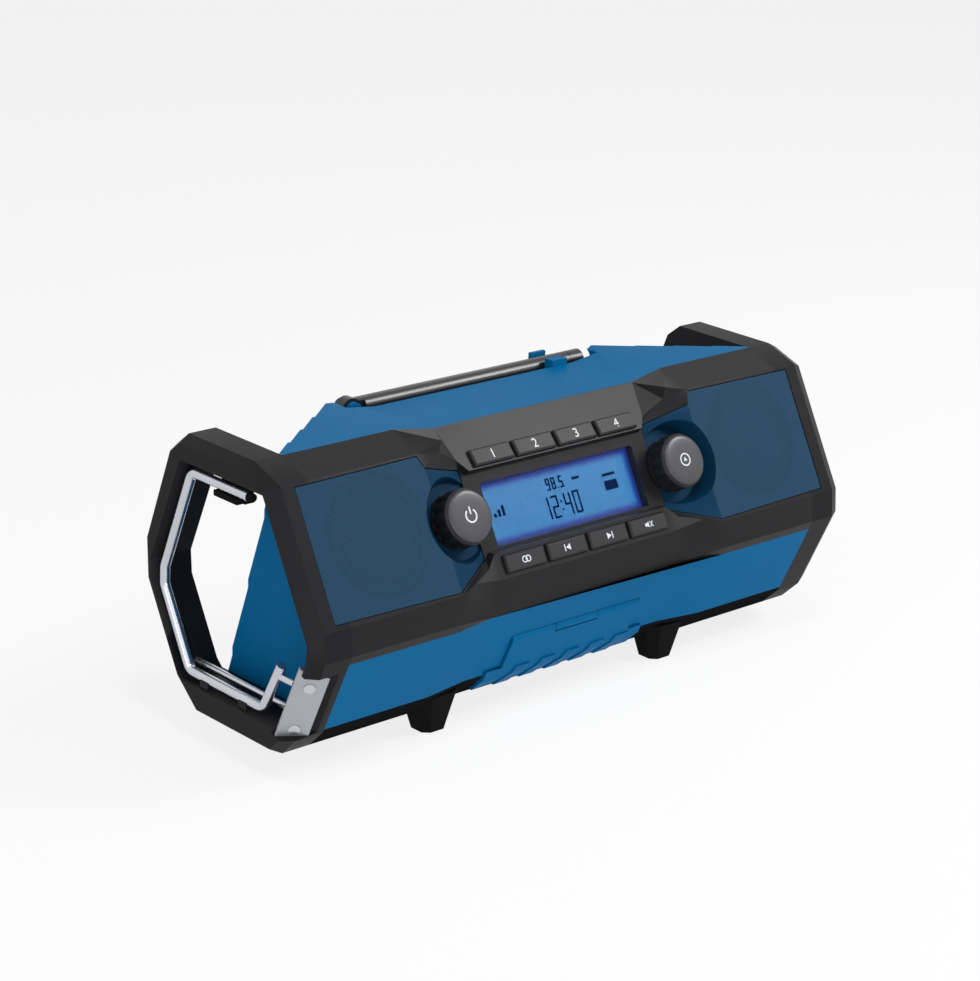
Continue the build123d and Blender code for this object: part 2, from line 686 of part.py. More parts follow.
def end_halfspace(inset, rows_from):
    """Everything beyond the slanting right-hand end wall, for rows behind a given Y."""
    sx, sy = end_wall_splay
    normal = Vector(sy, sx, sy * end_wall_lean).normalized()
    base = Vector(end_wall_top_x, end_wall_top_y, case_height) + normal * inset
    wedge = Plane(origin=base, z_dir=normal) * Pos(0, 0, reach / 2) * Box(2 * reach, 2 * reach, reach)
    return wedge & box((0, rows_from, -reach), (reach, reach, reach))


def recess_block(inset):
    """What is taken off the lower front so that its middle stands back."""
    high_z = front_knee[1] + 6
    heights = [(high_z, along(front_low, front_knee, high_z)), (front_low[1], front_low[0]),
               (bottom_front[1], bottom_front[0]), (-5.0, bottom_front[0] + 5.2)]
    rows = []
    for z, y in heights:
        rows.append([(-recess_half_out, y + inset, z), (-recess_half_in, y + centre_recess + inset, z),
                     (recess_half_in, y + centre_recess + inset, z), (recess_half_out, y + inset, z),
                     (recess_half_out, -95, z), (-recess_half_out, -95, z)])
    faces = [rows[0], list(reversed(rows[-1]))]
    for high, low in zip(rows, rows[1:]):
        for i in range(6):
            j = (i + 1) % 6
            faces.append([high[j], high[i], low[i], low[j]])
    return faceted(faces)


def case_block(inset):
    outline = Face(Wire.make_polygon([(0, y, z) for y, z in case_profile], close=True))
    if inset:
        outline = offset(outline, amount=-inset, kind=Kind.INTERSECTION)
    block = extrude(outline, amount=ring_inner_x - inset, dir=(1, 0, 0), both=True)
    steps = [] if inset else [(i * rib_step, row) for i, row in enumerate(rib_rows)]
    steps.append((-inset if inset else len(rib_rows) * rib_step, -reach))
    for depth, row in steps:
        cut = end_halfspace(depth, row)
        block = block - cut - mirrored(cut)
    return block - recess_block(inset * 1.1) - dip_block(inset)


channel_low_z = aerial_z - aerial_diameter / 2 - 0.5
channel_front_y = aerial_y - aerial_diameter / 2 - aerial_finger_gap
end_wall_x = end_wall_top_x - (aerial_y - end_wall_top_y) * end_wall_splay[0] / end_wall_splay[1]
aerial_half = end_wall_x - aerial_end_gap
channel_end = aerial_half + 3.0


def channel(grow):
    far = channel_end + grow
    return box((-far, channel_front_y - grow, channel_low_z - grow), (far, reach, reach))


solid_case = case_block(0)
mouth_low = face_up_out(front_y(lower_seam_z, seam_out), lower_seam_z)[0] - 2.0
mouth_inside = face_box(0, (mouth_top + mouth_low) / 2, seam_out - 22, seam_out + 20,
                        2 * (ring_inner_x - wall), mouth_top - mouth_low)
mouth_inside = mouth_inside & box((-reach, -reach, lower_seam_z), (reach, reach, reach))
inner_end = end_halfspace(-wall, -reach)
cavity = case_block(wall) + (mouth_inside - inner_end - mirrored(inner_end))
cavity = cavity - channel(wall)
shell = solid_case - cavity - channel(0)
tray_room = box((-reach, -reach, -50), (reach, reach, tray_seam_z))
top_room = box((-reach, -reach, top_seam_z), (reach, reach, reach))
front_room = box((-reach, -reach, tray_seam_z), (reach, -22.0, lower_seam_z))
bottom_tray = shell & tray_room
top_shell = shell & top_room
front_lower = (shell - tray_room - top_room) & front_room
rear_shell = shell - tray_room - top_room - front_room

# ---- feet ------------------------------------------------------------------------------------
foot_rise = 8.0
foot_depth = 23.0
foot_bottom_depth = 14.0
foot_peg = 8.0
foot_front_y = -31.5
foot_rear_y = 22.0


def foot_outline(width, depth, z, x, y):
    w, d = width / 2, depth / 2
    cut_w, cut_d = 0.55 * w, 0.55 * d
    corners = [(w, cut_d), (cut_w, d), (-cut_w, d), (-w, cut_d),
               (-w, -cut_d), (-cut_w, -d), (cut_w, -d), (w, -cut_d)]
    return Face(Wire.make_polygon([(x + cx, y + cy, z) for cx, cy in corners], close=True))


for y, name in ((foot_front_y, "front_feet"), (foot_rear_y, "rear_feet")):
    pair = []
    for x in (-foot_x, foot_x):
        top = foot_outline(foot_top, foot_depth, foot_rise, x, y)
        low = foot_outline(foot_bottom, foot_bottom_depth, -foot_height, x, y)
        foot = loft([low, top]) - solid_case
        inward_y = y - 3.0 if y > 0 else y + 3.0
        foot = foot + Pos(x, inward_y, wall / 2) * Cylinder(foot_peg / 2, wall + 4.0)
        pair.append(foot)
        bottom_tray = bottom_tray - foot
    keep(name, group(pair))

# ---- socket compartment and its lid --------------------------------------------------------------
socket_half = 40.6
socket_low_z = 4.4
socket_high_z = 25.0
socket_back_y = -24.4
liner = 1.6
liner_outside = box((-socket_half, -90, socket_low_z), (socket_half, socket_back_y, socket_high_z))
liner_inside = box((-socket_half + liner, -90, socket_low_z + liner),
                   (socket_half - liner, socket_back_y - liner, socket_high_z - liner))
socket_bay = (liner_outside & solid_case) - liner_inside
front_lower = front_lower - liner_outside
bottom_tray = bottom_tray - liner_outside

middle_low_y = front_low[0] + centre_recess
LID = Plane(
    origin=(0, along(front_low, front_knee, lid_top_z) + centre_recess, lid_top_z), x_dir=(1, 0, 0),
    z_dir=(0, front_low[1] - front_knee[1], front_knee[0] - front_low[0]),
)
barrel_centre = (2.4, -0.9)
groove_radius = lid_barrel / 2 + 0.7
lid_sink = 0.9


def lid_skin(low, high, low_x, high_x, low_z, high_z):
    """A slab that follows the two lower facets, between two depths out from them."""
    slopes = [(along(front_low, front_knee, 40.0) + centre_recess, 40.0), (middle_low_y, front_low[1]),
              (bottom_front[0] + centre_recess, bottom_front[1])]
    upper = Vector(0, front_low[1] - front_knee[1], front_knee[0] - front_low[0]).normalized()
    run = Vector(0, bottom_front[0] - front_low[0], bottom_front[1] - front_low[1]).normalized()
    lower = Vector(0, run.Z, -run.Y)
    bend = (upper + lower).normalized()
    bend = bend / bend.dot(upper)
    outs = [upper, bend, lower]
    near = [(y + o.Y * low, z + o.Z * low) for (y, z), o in zip(slopes, outs)]
    distant = [(y + o.Y * high, z + o.Z * high) for (y, z), o in zip(slopes, outs)]
    slab = prism(near + list(reversed(distant)), low_x, high_x)
    return slab & box((low_x, -100, low_z), (high_x, 0, high_z))


lid_low_z = 1.2
lid_face = lid_thickness - lid_sink
lid = lid_skin(-lid_sink, lid_face, -lid_half, lid_half, lid_low_z, lid_top_z)
lid = lid + lid_skin(-lid_sink, lid_face, -lid_foot_half, lid_foot_half, lid_low_z, lid_step_z)
seat_floor = -lid_sink - fit_gap
lid_seat = lid_skin(seat_floor, 8, -lid_half - 0.5, lid_half + 0.5, -1, lid_top_z + 0.5)
lid_seat = lid_seat + lid_skin(seat_floor, 8, -lid_foot_half - 0.5, lid_foot_half + 0.5, -1, lid_step_z + 0.5)


def hinge_rod(low_x, high_x, diameter):
    return LID * Pos((low_x + high_x) / 2, barrel_centre[0], barrel_centre[1]) * Rot(0, 90, 0) * Cylinder(
        diameter / 2, high_x - low_x)


hinge_block = (LID * Pos(0, barrel_centre[0], -3.2) * Box(2 * lid_half + 8, 12.0, 7.0)) & solid_case
front_lower = front_lower + (hinge_block - liner_outside)
front_lower = front_lower - hinge_rod(-lid_half - 0.5, lid_half + 0.5, 2 * groove_radius) - lid_seat
bottom_tray = bottom_tray - lid_seat
socket_bay = socket_bay - lid_seat
knuckle_half = 14.0
middle_knuckle = hinge_rod(-knuckle_half, knuckle_half, lid_barrel)
knuckle_web = LID * Pos(0, barrel_centre[0], -3.4) * Box(2 * knuckle_half, 2.6, 4.4)
front_lower = front_lower + middle_knuckle + knuckle_web
for low_x, high_x in ((-lid_half, -knuckle_half - fit_gap), (knuckle_half + fit_gap, lid_half)):
    lid = lid + hinge_rod(low_x, high_x, lid_barrel)
    middle = (low_x + high_x) / 2
    lid = lid + LID * Pos(middle, 0.3, lid_thickness / 2 - lid_sink) * Box(high_x - low_x, 3.4, lid_thickness)
lid_bore = hinge_rod(-lid_half - 1, lid_half + 1, lid_pin + 2 * running_gap)
lid = lid - lid_bore
front_lower = front_lower - hinge_rod(-knuckle_half - 1, knuckle_half + 1, lid_pin)
pad_layer = lid_skin(lid_face - 0.4, lid_face + lid_pad_rise, -reach, reach, lid_low_z, lid_pad_top_z)
pad_block = Box(lid_pad_width, 60, 40)
for i in range(lid_pad_count):
    x = (i - (lid_pad_count - 1) / 2) * lid_pad_pitch
    lid = lid + (LID * Pos(x, -lid_top_z, 0) * Rot(0, 0, lid_pad_slant) * pad_block & pad_layer)
keep("socket_lid", lid)
keep("socket_lid_pin", hinge_rod(-lid_half + 1, lid_half - 1, lid_pin))
jack_z = 14.5
jack = rod_y(-16, socket_back_y - liner - 1.5, socket_back_y + 10, jack_z, 7.0)
jack = jack + box((-21, socket_back_y, jack_z - 5), (-11, socket_back_y + 12, jack_z + 5))
jack = jack - rod_y(-16, socket_back_y - 9, socket_back_y + 9, jack_z, 3.6)
keep("aux_jack", jack)
usb = box((9, socket_back_y - liner - 1.5, jack_z - 3.6), (24, socket_back_y + 12, jack_z + 3.6))
usb = usb - box((10, socket_back_y - 9, jack_z - 2.6), (23, socket_back_y + 9, jack_z + 2.6))
usb_tongue = box((10.5, socket_back_y - 2, jack_z - 0.2), (22.5, socket_back_y + 9, jack_z + 1.4))
keep("usb_socket", usb + usb_tongue)
socket_bay = socket_bay - pieces["aux_jack"] - rod_y(-16, -60, socket_back_y, jack_z, 3.6) - box(
    (9, -40, jack_z - 3.6), (24, socket_back_y, jack_z + 3.6))
keep("socket_bay", socket_bay)

# ---- aerial -----------------------------------------------------------------------------------------
pivot_x = -aerial_half + knuckle_diameter / 2
ear_thickness = 2.6
tube_end_x = aerial_half - tip_length - fit_gap
rod = rod_x(pivot_x, tube_end_x, aerial_y, aerial_z, aerial_diameter)
bore_start_x = pivot_x + knuckle_diameter
rod = rod - rod_x(bore_start_x, tube_end_x + 1, aerial_y, aerial_z, inner_rod_diameter + 2 * running_gap)
inner_rod = rod_x(bore_start_x + 2, tube_end_x + fit_gap, aerial_y, aerial_z, inner_rod_diameter)
tip = rod_x(tube_end_x + fit_gap, aerial_half, aerial_y, aerial_z, aerial_diameter)
tip = chamfer(tip.faces().sort_by(Axis.X)[-1].edges(), 1.2)
keep("aerial_inner_rod", inner_rod + tip)
knuckle_low_y = aerial_y - knuckle_width / 2
knuckle_high_y = aerial_y + knuckle_width / 2
knuckle = rod_y(pivot_x, knuckle_low_y, knuckle_high_y, aerial_z, knuckle_diameter)
slim_end_x = pivot_x + knuckle_diameter / 2 + 2
slim = box((pivot_x, aerial_y - 20, aerial_z - 20), (slim_end_x, aerial_y + 20, aerial_z + 20))
slim = slim - box((pivot_x, knuckle_low_y, aerial_z - 20), (slim_end_x, knuckle_high_y, aerial_z + 20))
pin_low_y = knuckle_low_y - fit_gap - ear_thickness
pin_high_y = knuckle_high_y + fit_gap + ear_thickness
rod = (rod - slim) + knuckle - rod_y(pivot_x, pin_low_y, pin_high_y, aerial_z, aerial_pin + 2 * running_gap)
keep("aerial_rod", rod)
keep("aerial_pivot_pin", rod_y(pivot_x, pin_low_y, pin_high_y, aerial_z, aerial_pin))
fork = []
for low_y in (pin_low_y, pin_high_y - ear_thickness):
    ear = rod_y(pivot_x, low_y, low_y + ear_thickness, aerial_z, knuckle_diameter - 3.4)
    leg = box((pivot_x - 3.8, low_y, channel_low_z - 3), (pivot_x + 3.8, low_y + ear_thickness, aerial_z))
    fork.append(ear + leg)
pocket_ends = (knuckle_low_y - fit_gap, knuckle_high_y + fit_gap)
knuckle_pocket = rod_y(pivot_x, *pocket_ends, aerial_z, knuckle_diameter + 1.4)
clip_x = aerial_half - 24.5
clip_length = 10.0
clip_bore = aerial_diameter + 2 * slide_gap
clip = box((clip_x - clip_length / 2, channel_front_y - 1.0, channel_low_z - 1.5),
           (clip_x + clip_length / 2, aerial_y + clip_bore / 2 + 2.2, case_height + 0.4))
clip_gap = clip_bore / 2
clip = clip - box((clip_x - 20, aerial_y - clip_gap, aerial_z), (clip_x + 20, aerial_y + clip_gap, reach))
clip = clip - rod_x(clip_x - 20, clip_x + 20, aerial_y, aerial_z, clip_bore)
floor_low = (pivot_x - 8, aerial_y - 8, channel_low_z - 6)
floor_under = box(floor_low, (pivot_x + 8, case_rear_y - 3.4, channel_low_z))
top_shell = top_shell + (floor_under & solid_case)
for ear in fork:
    top_shell = top_shell + ear
top_shell = top_shell - knuckle_pocket - pieces["aerial_pivot_pin"] + clip
top_shell = top_shell - rod_x(channel_end - 1, ring_inner_x, aerial_y, aerial_z, clip_bore)

# ---- battery bay ---------------------------------------------------------------------------------------
bay_floor_y = case_rear_y - bay_depth
bay_wall = 2.2
bay_outside = box((bay_low_x - bay_wall, bay_floor_y - bay_wall, bay_low_z - bay_wall),
                  (bay_high_x + bay_wall, case_rear_y, bay_high_z + bay_wall))
bay_inside = box((bay_low_x, bay_floor_y, bay_low_z), (bay_high_x, case_rear_y + 9, bay_high_z))
bay = bay_outside - bay_inside
rear_shell = rear_shell - bay_outside
rail_y = bay_floor_y + 11.0
for low_z, high_z in ((bay_low_z - 0.5, bay_low_z + rail_depth), (bay_high_z - rail_depth, bay_high_z + 0.5)):
    bay = bay + box((bay_low_x, rail_y, low_z), (bay_high_x - 40, rail_y + 3.5, high_z))
board_y = bay_floor_y - bay_wall - 5.0
stud_spots = [(x, z) for x in (-52.0, 44.0) for z in (bay_low_z + 12.0, bay_high_z - 12.0)]
for x, z in stud_spots:
    bay = bay + rod_y(x, board_y + board, bay_floor_y - bay_wall + 0.4, z, 6.0)
keep("battery_bay", bay)
keep("main_board", box((-58, board_y, bay_low_z + 6), (50, board_y + board, bay_high_z - 6)))
chip_rows = []
for i in range(6):
    x = -42 + 16.0 * i
    chip_rows.append(box((x, board_y - 2.2, 44 + 6 * (i % 2)), (x + 10, board_y, 54 + 6 * (i % 2))))
for x in (-46.0, -34.0, 34.0):
    chip_rows.append(rod_y(x, board_y - 9.0, board_y, 78, 8.0))
keep("board_components", group(chip_rows))
block_mid_z = (bay_low_z + bay_high_z) / 2
block_low_z, block_high_z = block_mid_z - 22, block_mid_z + 22
terminal = box((bay_low_x, bay_floor_y, block_low_z), (bay_low_x + 24, bay_floor_y + 9, block_high_z))
flange_corner = (bay_low_x + 5, bay_floor_y + 20, block_high_z)
terminal = terminal + box((bay_low_x, bay_floor_y, block_low_z), flange_corner)
blades = []
for z in (-15.0, -5.0, 5.0, 15.0):
    blades.append(box((bay_low_x + 3, bay_floor_y + 13, block_mid_z + z - 0.5),
                      (bay_low_x + 21, bay_floor_y + 19, block_mid_z + z + 0.5)))
for blade in blades:
    terminal = terminal - blade
keep("battery_terminal_block", terminal)
keep("battery_contacts", group(blades))

# ---- supply inlet --------------------------------------------------------------
inlet_x, inlet_z = 88.0, 34.0
inlet = rod_y(inlet_x, case_rear_y - 13, case_rear_y + 0.6, inlet_z, 11.0)
inlet = inlet - rod_y(inlet_x, case_rear_y - 9.5, case_rear_y + 2, inlet_z, 5.6)
inlet = inlet + rod_y(inlet_x, case_rear_y - 10.5, case_rear_y - 1.5, inlet_z, 2.0)
keep("supply_inlet", inlet)
rear_shell = rear_shell - rod_y(inlet_x, case_rear_y - 20, case_rear_y + 5, inlet_z, 11.0)

# ---- screws --------------------------------------------------------------------


def screw(length):
    """A pan-head screw that points down from its head's underside at Z = 0."""
    body = Pos(0, 0, 1.0) * Cylinder(screw_head / 2, 2.0) - Pos(0, 0, 1.6) * Box(4.0, 0.8, 0.9)
    return body + Pos(0, 0, -length / 2) * Cylinder(screw_diameter / 2, length)


rear_screws = []
upper_screw_z = top_seam_z - 22.0
between_seams = box((-reach, -reach, tray_seam_z), (reach, reach, top_seam_z))
for x, z in ((-96, 44), (96, 54), (-84, upper_screw_z), (80, upper_screw_z), (-102, 24), (106, 24)):
    seat = Plane(origin=(x, case_rear_y - 2.2, z), z_dir=(0, 1, 0))
    boss = seat * Pos(0, 0, -5.5) * Cylinder(4.0, 13.0)
    rear_shell = rear_shell + (boss & solid_case & between_seams)
    rear_shell = rear_shell - seat * Pos(0, 0, 2.0) * Cylinder(screw_head / 2 + 0.2, 4.0)
    rear_screws.append(seat * screw(10.0))
for item in rear_screws:
    rear_shell = rear_shell - item
tray_screws = []
for x in (-118, 118):
    for y in (-22, 12):
        seat = Plane(origin=(x, y, 1.2), z_dir=(0, 0, -1))
        bottom_tray = bottom_tray + seat * Pos(0, 0, -4.0) * Cylinder(4.0, 7.5)
        bottom_tray = bottom_tray - seat * Pos(0, 0, 1.5) * Cylinder(screw_head / 2 + 0.2, 3.0)
        tray_screws.append(seat * screw(8.0))
for item in tray_screws:
    bottom_tray = bottom_tray - item
keep("case_screws", group(rear_screws + tray_screws))
speaker_screws = []
corner = speaker_diameter / 2 - 3.5
for side, hand in ((1, "right"), (-1, "left")):
    for dx in (-corner, corner):
        for dy in (-corner, corner):
            seat = Plane(origin=at(side * speaker_x + dx, speaker_up + dy, fascia_inner - speaker_flange),
                         x_dir=(1, 0, 0), z_dir=(0, cos(tilt), -sin(tilt)))
            item = seat * screw(3.4)
            speaker_screws.append(item)
            pieces["speaker_basket_" + hand] = pieces["speaker_basket_" + hand] - item
            fascia = fascia - item
keep("speaker_screws", group(speaker_screws))
ring_screws = []
for side in (-1, 1):
    spots = [(-18.0, 8.0), (8.0, 8.0), at(0, 50.0, seam_out + 3.8)[1:]]
    for y, z in spots:
        seat = Plane(origin=(side * (ring_inner_x - 2.6), y, z), z_dir=(-side, 0, 0))
        item = seat * screw(11.0)
        ring_screws.append(item)
        bottom_tray = bottom_tray - item
        fascia = fascia - item
        left_ring = left_ring - item
        right_ring = right_ring - item
keep("ring_screws", group(ring_screws))

# ---- writing -------------------------------------------------------------------
os.makedirs("parts", exist_ok=True)
keep("left_end_ring", left_ring)
keep("right_end_ring", right_ring)
keep("front_fascia", fascia)
keep("speaker_grille_right", grilles[1])
keep("speaker_grille_left", grilles[-1])
keep("bottom_tray", bottom_tray)
keep("top_shell", top_shell)
keep("front_lower_shell", front_lower)
keep("rear_shell", rear_shell)
for name, shape in pieces.items():
    export_step(Pos(0, 0, foot_height) * shape, f"parts/{name}.step")
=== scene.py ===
"""Finishes the jobsite radio: shells, perforated grilles, lit display, keys, dials, hook and aerial."""
import json
import math

import bpy
from mathutils import Matrix, Vector

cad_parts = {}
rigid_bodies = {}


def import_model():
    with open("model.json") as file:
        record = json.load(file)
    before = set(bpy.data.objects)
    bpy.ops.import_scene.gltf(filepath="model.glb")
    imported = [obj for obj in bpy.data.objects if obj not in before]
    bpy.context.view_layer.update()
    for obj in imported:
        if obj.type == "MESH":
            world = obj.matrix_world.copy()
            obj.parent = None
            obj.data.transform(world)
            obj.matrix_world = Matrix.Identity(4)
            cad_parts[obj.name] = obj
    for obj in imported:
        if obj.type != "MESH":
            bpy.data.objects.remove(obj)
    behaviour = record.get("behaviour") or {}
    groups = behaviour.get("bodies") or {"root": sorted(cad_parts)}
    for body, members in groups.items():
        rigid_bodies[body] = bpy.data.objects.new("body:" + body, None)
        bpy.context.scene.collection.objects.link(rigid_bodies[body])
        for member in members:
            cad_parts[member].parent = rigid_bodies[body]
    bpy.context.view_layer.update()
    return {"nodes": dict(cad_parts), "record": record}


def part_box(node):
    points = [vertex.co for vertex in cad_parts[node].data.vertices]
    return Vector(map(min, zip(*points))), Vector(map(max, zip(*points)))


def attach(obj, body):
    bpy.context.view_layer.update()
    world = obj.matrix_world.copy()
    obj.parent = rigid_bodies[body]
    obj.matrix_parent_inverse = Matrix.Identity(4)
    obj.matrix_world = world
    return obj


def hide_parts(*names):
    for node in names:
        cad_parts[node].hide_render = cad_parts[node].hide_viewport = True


bl_info = {
    "name": "Jobsite radio finish",
    "version": (1, 0, 0),
    "blender": (4, 5, 0),
    "location": "3D View > Sidebar > Radio",
    "description": "Builds the visible surfaces and details of a faceted jobsite radio",
    "category": "Object",
}

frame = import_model()
MM = 0.001

# The console leans back, so its face has its own up and outward directions.
CONSOLE_LEAN = math.radians(28.4)
CONSOLE_RIGHT = Vector((1.0, 0.0, 0.0))
CONSOLE_UP = Vector((0.0, math.sin(CONSOLE_LEAN), math.cos(CONSOLE_LEAN)))
CONSOLE_OUT = Vector((0.0, -math.cos(CONSOLE_LEAN), math.sin(CONSOLE_LEAN)))

# Points this close are one, and faces this near to level are merged.
MERGE = 2e-6
FLAT_LIMIT = math.radians(0.2)
# Edges sharper than the first angle are rounded; shading breaks over the second.
EDGE_ANGLE = math.radians(22.0)
SMOOTH_ANGLE = math.radians(40.0)
EDGE_SEGMENTS = 2
FLAT_WEIGHT = 50
# How deep the rim of a node's outermost face reaches.
RIM_DEPTH = 20 * MERGE
HOOP_SIDES = 48
# A font's size against the height of its figures.
FONT_SHARE = 1.38


def srgb(red, green, blue):
    """A linear colour from 0 to 255 screen values."""
    channels = [value / 255.0 for value in (red, green, blue)]
    linear = [c / 12.92 if c <= 0.04045 else ((c + 0.055) / 1.055) ** 2.4 for c in channels]
    return (*linear, 1.0)


def colour_setting(name, description, default):
    return bpy.props.FloatVectorProperty(
        name=name, description=description, subtype="COLOR", size=4, min=0.0, max=1.0, default=default
    )


def length_setting(name, description, millimetres):
    return bpy.props.FloatProperty(
        name=name, description=description, subtype="DISTANCE", unit="LENGTH", default=millimetres * MM
    )


def angle_setting(name, description, degrees):
    return bpy.props.FloatProperty(
        name=name, description=description, subtype="ANGLE", default=math.radians(degrees)
    )


class RadioColours(bpy.types.PropertyGroup):
    """Colours of the radio's finishes."""

    blue: colour_setting("Blue shell", "Moulded blue of the shells and the lid", srgb(9, 98, 147))
    charcoal: colour_setting("Charcoal", "Frame, console and rings", srgb(30, 30, 32))
    grille: colour_setting("Grille", "Painted steel mesh", srgb(35, 64, 88))
    # Painted shade: the dark seen through the grille's holes is painted into its colour.
    grille_hole: colour_setting("Grille holes", "What shows through the mesh", srgb(14, 32, 46))
    dish: colour_setting("Dish", "Round hollows about the dials", srgb(6, 46, 72))
    key: colour_setting("Keys", "Soft key tops", srgb(36, 36, 38))
    legend: colour_setting("Legends", "Numbers and symbols", srgb(205, 208, 212))
    steel: colour_setting("Steel", "Hook wire, rod and corner plate", srgb(196, 198, 205))
    screen: colour_setting("Screen", "Lit display", srgb(58, 150, 222))
    screen_glow: colour_setting("Screen glow", "Light that fades at the display's edge", srgb(32, 70, 178))
    screen_edge: colour_setting("Screen edge", "Unlit rim of the display", srgb(30, 40, 104))
    rubber: colour_setting("Rubber", "Feet and seals", srgb(18, 18, 19))


class RadioSizes(bpy.types.PropertyGroup):
    """Sizes of the modelled details."""

    shell_edge: length_setting("Shell edge", "Rounding along the shells' edges", 0.45)
    small_edge: length_setting("Small edge", "Rounding on keys, dials and small parts", 0.25)
    legend_height: length_setting("Legend height", "Height of a key's number", 5.0)
    legend_depth: length_setting("Legend depth", "How far a legend stands proud", 0.12)
    mesh_pitch: length_setting("Mesh pitch", "From one hole of a grille to the next", 1.0)
    cap_rise: length_setting("Cap rise", "How far a dial's cap is domed", 0.9)


class RadioView(bpy.types.PropertyGroup):
    """Where the camera stands and how it looks."""

    place: bpy.props.FloatVectorProperty(
        name="Place",
        description="Camera position",
        subtype="XYZ",
        unit="LENGTH",
        default=(-0.90564, -0.97541, 0.55338),
    )
    turn: angle_setting("Turn", "From the depth axis towards the length", 42.435)
    tilt: angle_setting("Tilt", "Below the horizon", 18.933)
    roll: angle_setting("Roll", "About the line of sight", 2.152)
    lens: bpy.props.FloatProperty(name="Lens", description="Focal length in millimetres", default=102.68)


# ---------------------------------------------------------------- selection and modelling


def deselect():
    if bpy.context.mode != "OBJECT":
        bpy.ops.object.mode_set(mode="OBJECT")
    bpy.ops.object.select_all(action="DESELECT")


def choose(*objects):
    deselect()
    for item in objects:
        item.select_set(True)
    bpy.context.view_layer.objects.active = objects[-1]


def settle(piece):
    """Moves the piece's place into its mesh."""
    choose(piece)
    bpy.ops.object.transform_apply(location=True, rotation=True, scale=True)


def copy_of(node, name):
    """A separate, merged copy of a construction node, free of its parent."""
    choose(frame["nodes"][node])
    bpy.ops.object.duplicate(linked=False)
    piece = bpy.context.active_object
    bpy.ops.object.parent_clear(type="CLEAR_KEEP_TRANSFORM")
    settle(piece)
    piece.name = name
    piece.data.name = name
    if piece.data.has_custom_normals:
        bpy.ops.mesh.customdata_custom_splitnormals_clear()
    bpy.ops.object.mode_set(mode="EDIT")
    bpy.ops.mesh.select_all(action="SELECT")
    bpy.ops.mesh.remove_doubles(threshold=MERGE)
    bpy.ops.mesh.dissolve_limited(angle_limit=FLAT_LIMIT)
    bpy.ops.object.mode_set(mode="OBJECT")
    return piece


def soften(piece, width):
    """Rounds the piece's edges and leaves its flats flat."""
    choose(piece)
    bevel = piece.modifiers.new("edges", "BEVEL")
    bevel.limit_method = "ANGLE"
    bevel.angle_limit = EDGE_ANGLE
    bevel.width = width
    bevel.segments = EDGE_SEGMENTS
    bevel.use_clamp_overlap = True
    bevel.harden_normals = False
    bpy.ops.object.modifier_apply(modifier=bevel.name)
    bpy.ops.object.shade_smooth_by_angle(angle=SMOOTH_ANGLE)
    weights = piece.modifiers.new("flats", "WEIGHTED_NORMAL")
    weights.keep_sharp = True
    weights.weight = FLAT_WEIGHT
    bpy.ops.object.modifier_apply(modifier=weights.name)


def dress(node, finish, width):
    """Replaces a construction node by a copy with rounded edges and a finish."""
    piece = copy_of(node, node + "_skin")
    if width > 0.0:
        soften(piece, width)
    else:
        choose(piece)
        bpy.ops.object.shade_smooth_by_angle(angle=SMOOTH_ANGLE)
    give(piece, finish)
    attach(piece, body_of_node(node))
    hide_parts(node)
    return piece


def body_of_node(node):
    for body, members in frame["record"]["behaviour"]["bodies"].items():
        if node in members:
            return body
    raise RuntimeError("no body holds " + node)


def give(piece, finish):
    piece.data.materials.clear()
    piece.data.materials.append(finish)


def outer_spot(node, out, right=CONSOLE_RIGHT):
    """A place on a node's outermost face: X runs right, Y up the face and Z outwards."""
    part = frame["nodes"][node]
    points = [part.matrix_world @ vertex.co for vertex in part.data.vertices]
    far = max(point.dot(out) for point in points)
    rim = [point for point in points if point.dot(out) > far - RIM_DEPTH]
    up = out.cross(right).normalized()
    middles = []
    for axis in (right, up):
        shares = [point.dot(axis) for point in rim]
        middles.append((min(shares) + max(shares)) / 2)
    place = right * middles[0] + up * middles[1] + out * far
    turned = Matrix((right, up, out)).transposed().to_4x4()
    return Matrix.Translation(place) @ turned


def lay_on(piece, spot, sink=0.0):
    """Turns a piece made flat about the origin onto a spot, and settles it there."""
    piece.matrix_world = spot @ Matrix.Translation((0.0, 0.0, -sink))
    settle(piece)


def add_bar(x, y, wide, tall, turn=0.0):
    bpy.ops.mesh.primitive_plane_add(size=1.0, location=(x, y, 0.0))
    bpy.ops.transform.resize(value=(wide, tall, 1.0), center_override=(x, y, 0.0))
    bpy.ops.transform.rotate(value=turn, orient_axis="Z", center_override=(x, y, 0.0))


def add_wedge(x, y, radius, turn):
    bpy.ops.mesh.primitive_circle_add(
        vertices=3, radius=radius, fill_type="NGON", location=(x, y, 0.0), rotation=(0.0, 0.0, turn)
    )


def add_hoop(x, y, radius, width, mouth=0.0):
    """A flat ring, open by an angle at its top where a mouth is given."""
    bpy.ops.mesh.primitive_circle_add(
        vertices=HOOP_SIDES, radius=radius, fill_type="NOTHING", location=(x, y, 0.0)
    )
    bpy.ops.mesh.extrude_edges_move()
    inner = 1.0 - width / radius
    bpy.ops.transform.resize(value=(inner, inner, 1.0), center_override=(x, y, 0.0))
    if mouth > 0.0:
        mesh = bpy.context.edit_object.data
        bpy.ops.object.mode_set(mode="OBJECT")
        for face in mesh.polygons:
            aim = Vector((face.center.x - x, face.center.y - y))
            near = abs(aim.length - radius + width / 2) < width
            face.select = near and abs(math.atan2(aim.x, aim.y)) < mouth / 2
        bpy.ops.object.mode_set(mode="EDIT")
        bpy.ops.mesh.select_mode(type="FACE")
        bpy.ops.mesh.delete(type="FACE")
        bpy.ops.mesh.select_mode(type="VERT")


SHAPES = {"bar": add_bar, "wedge": add_wedge, "hoop": add_hoop}


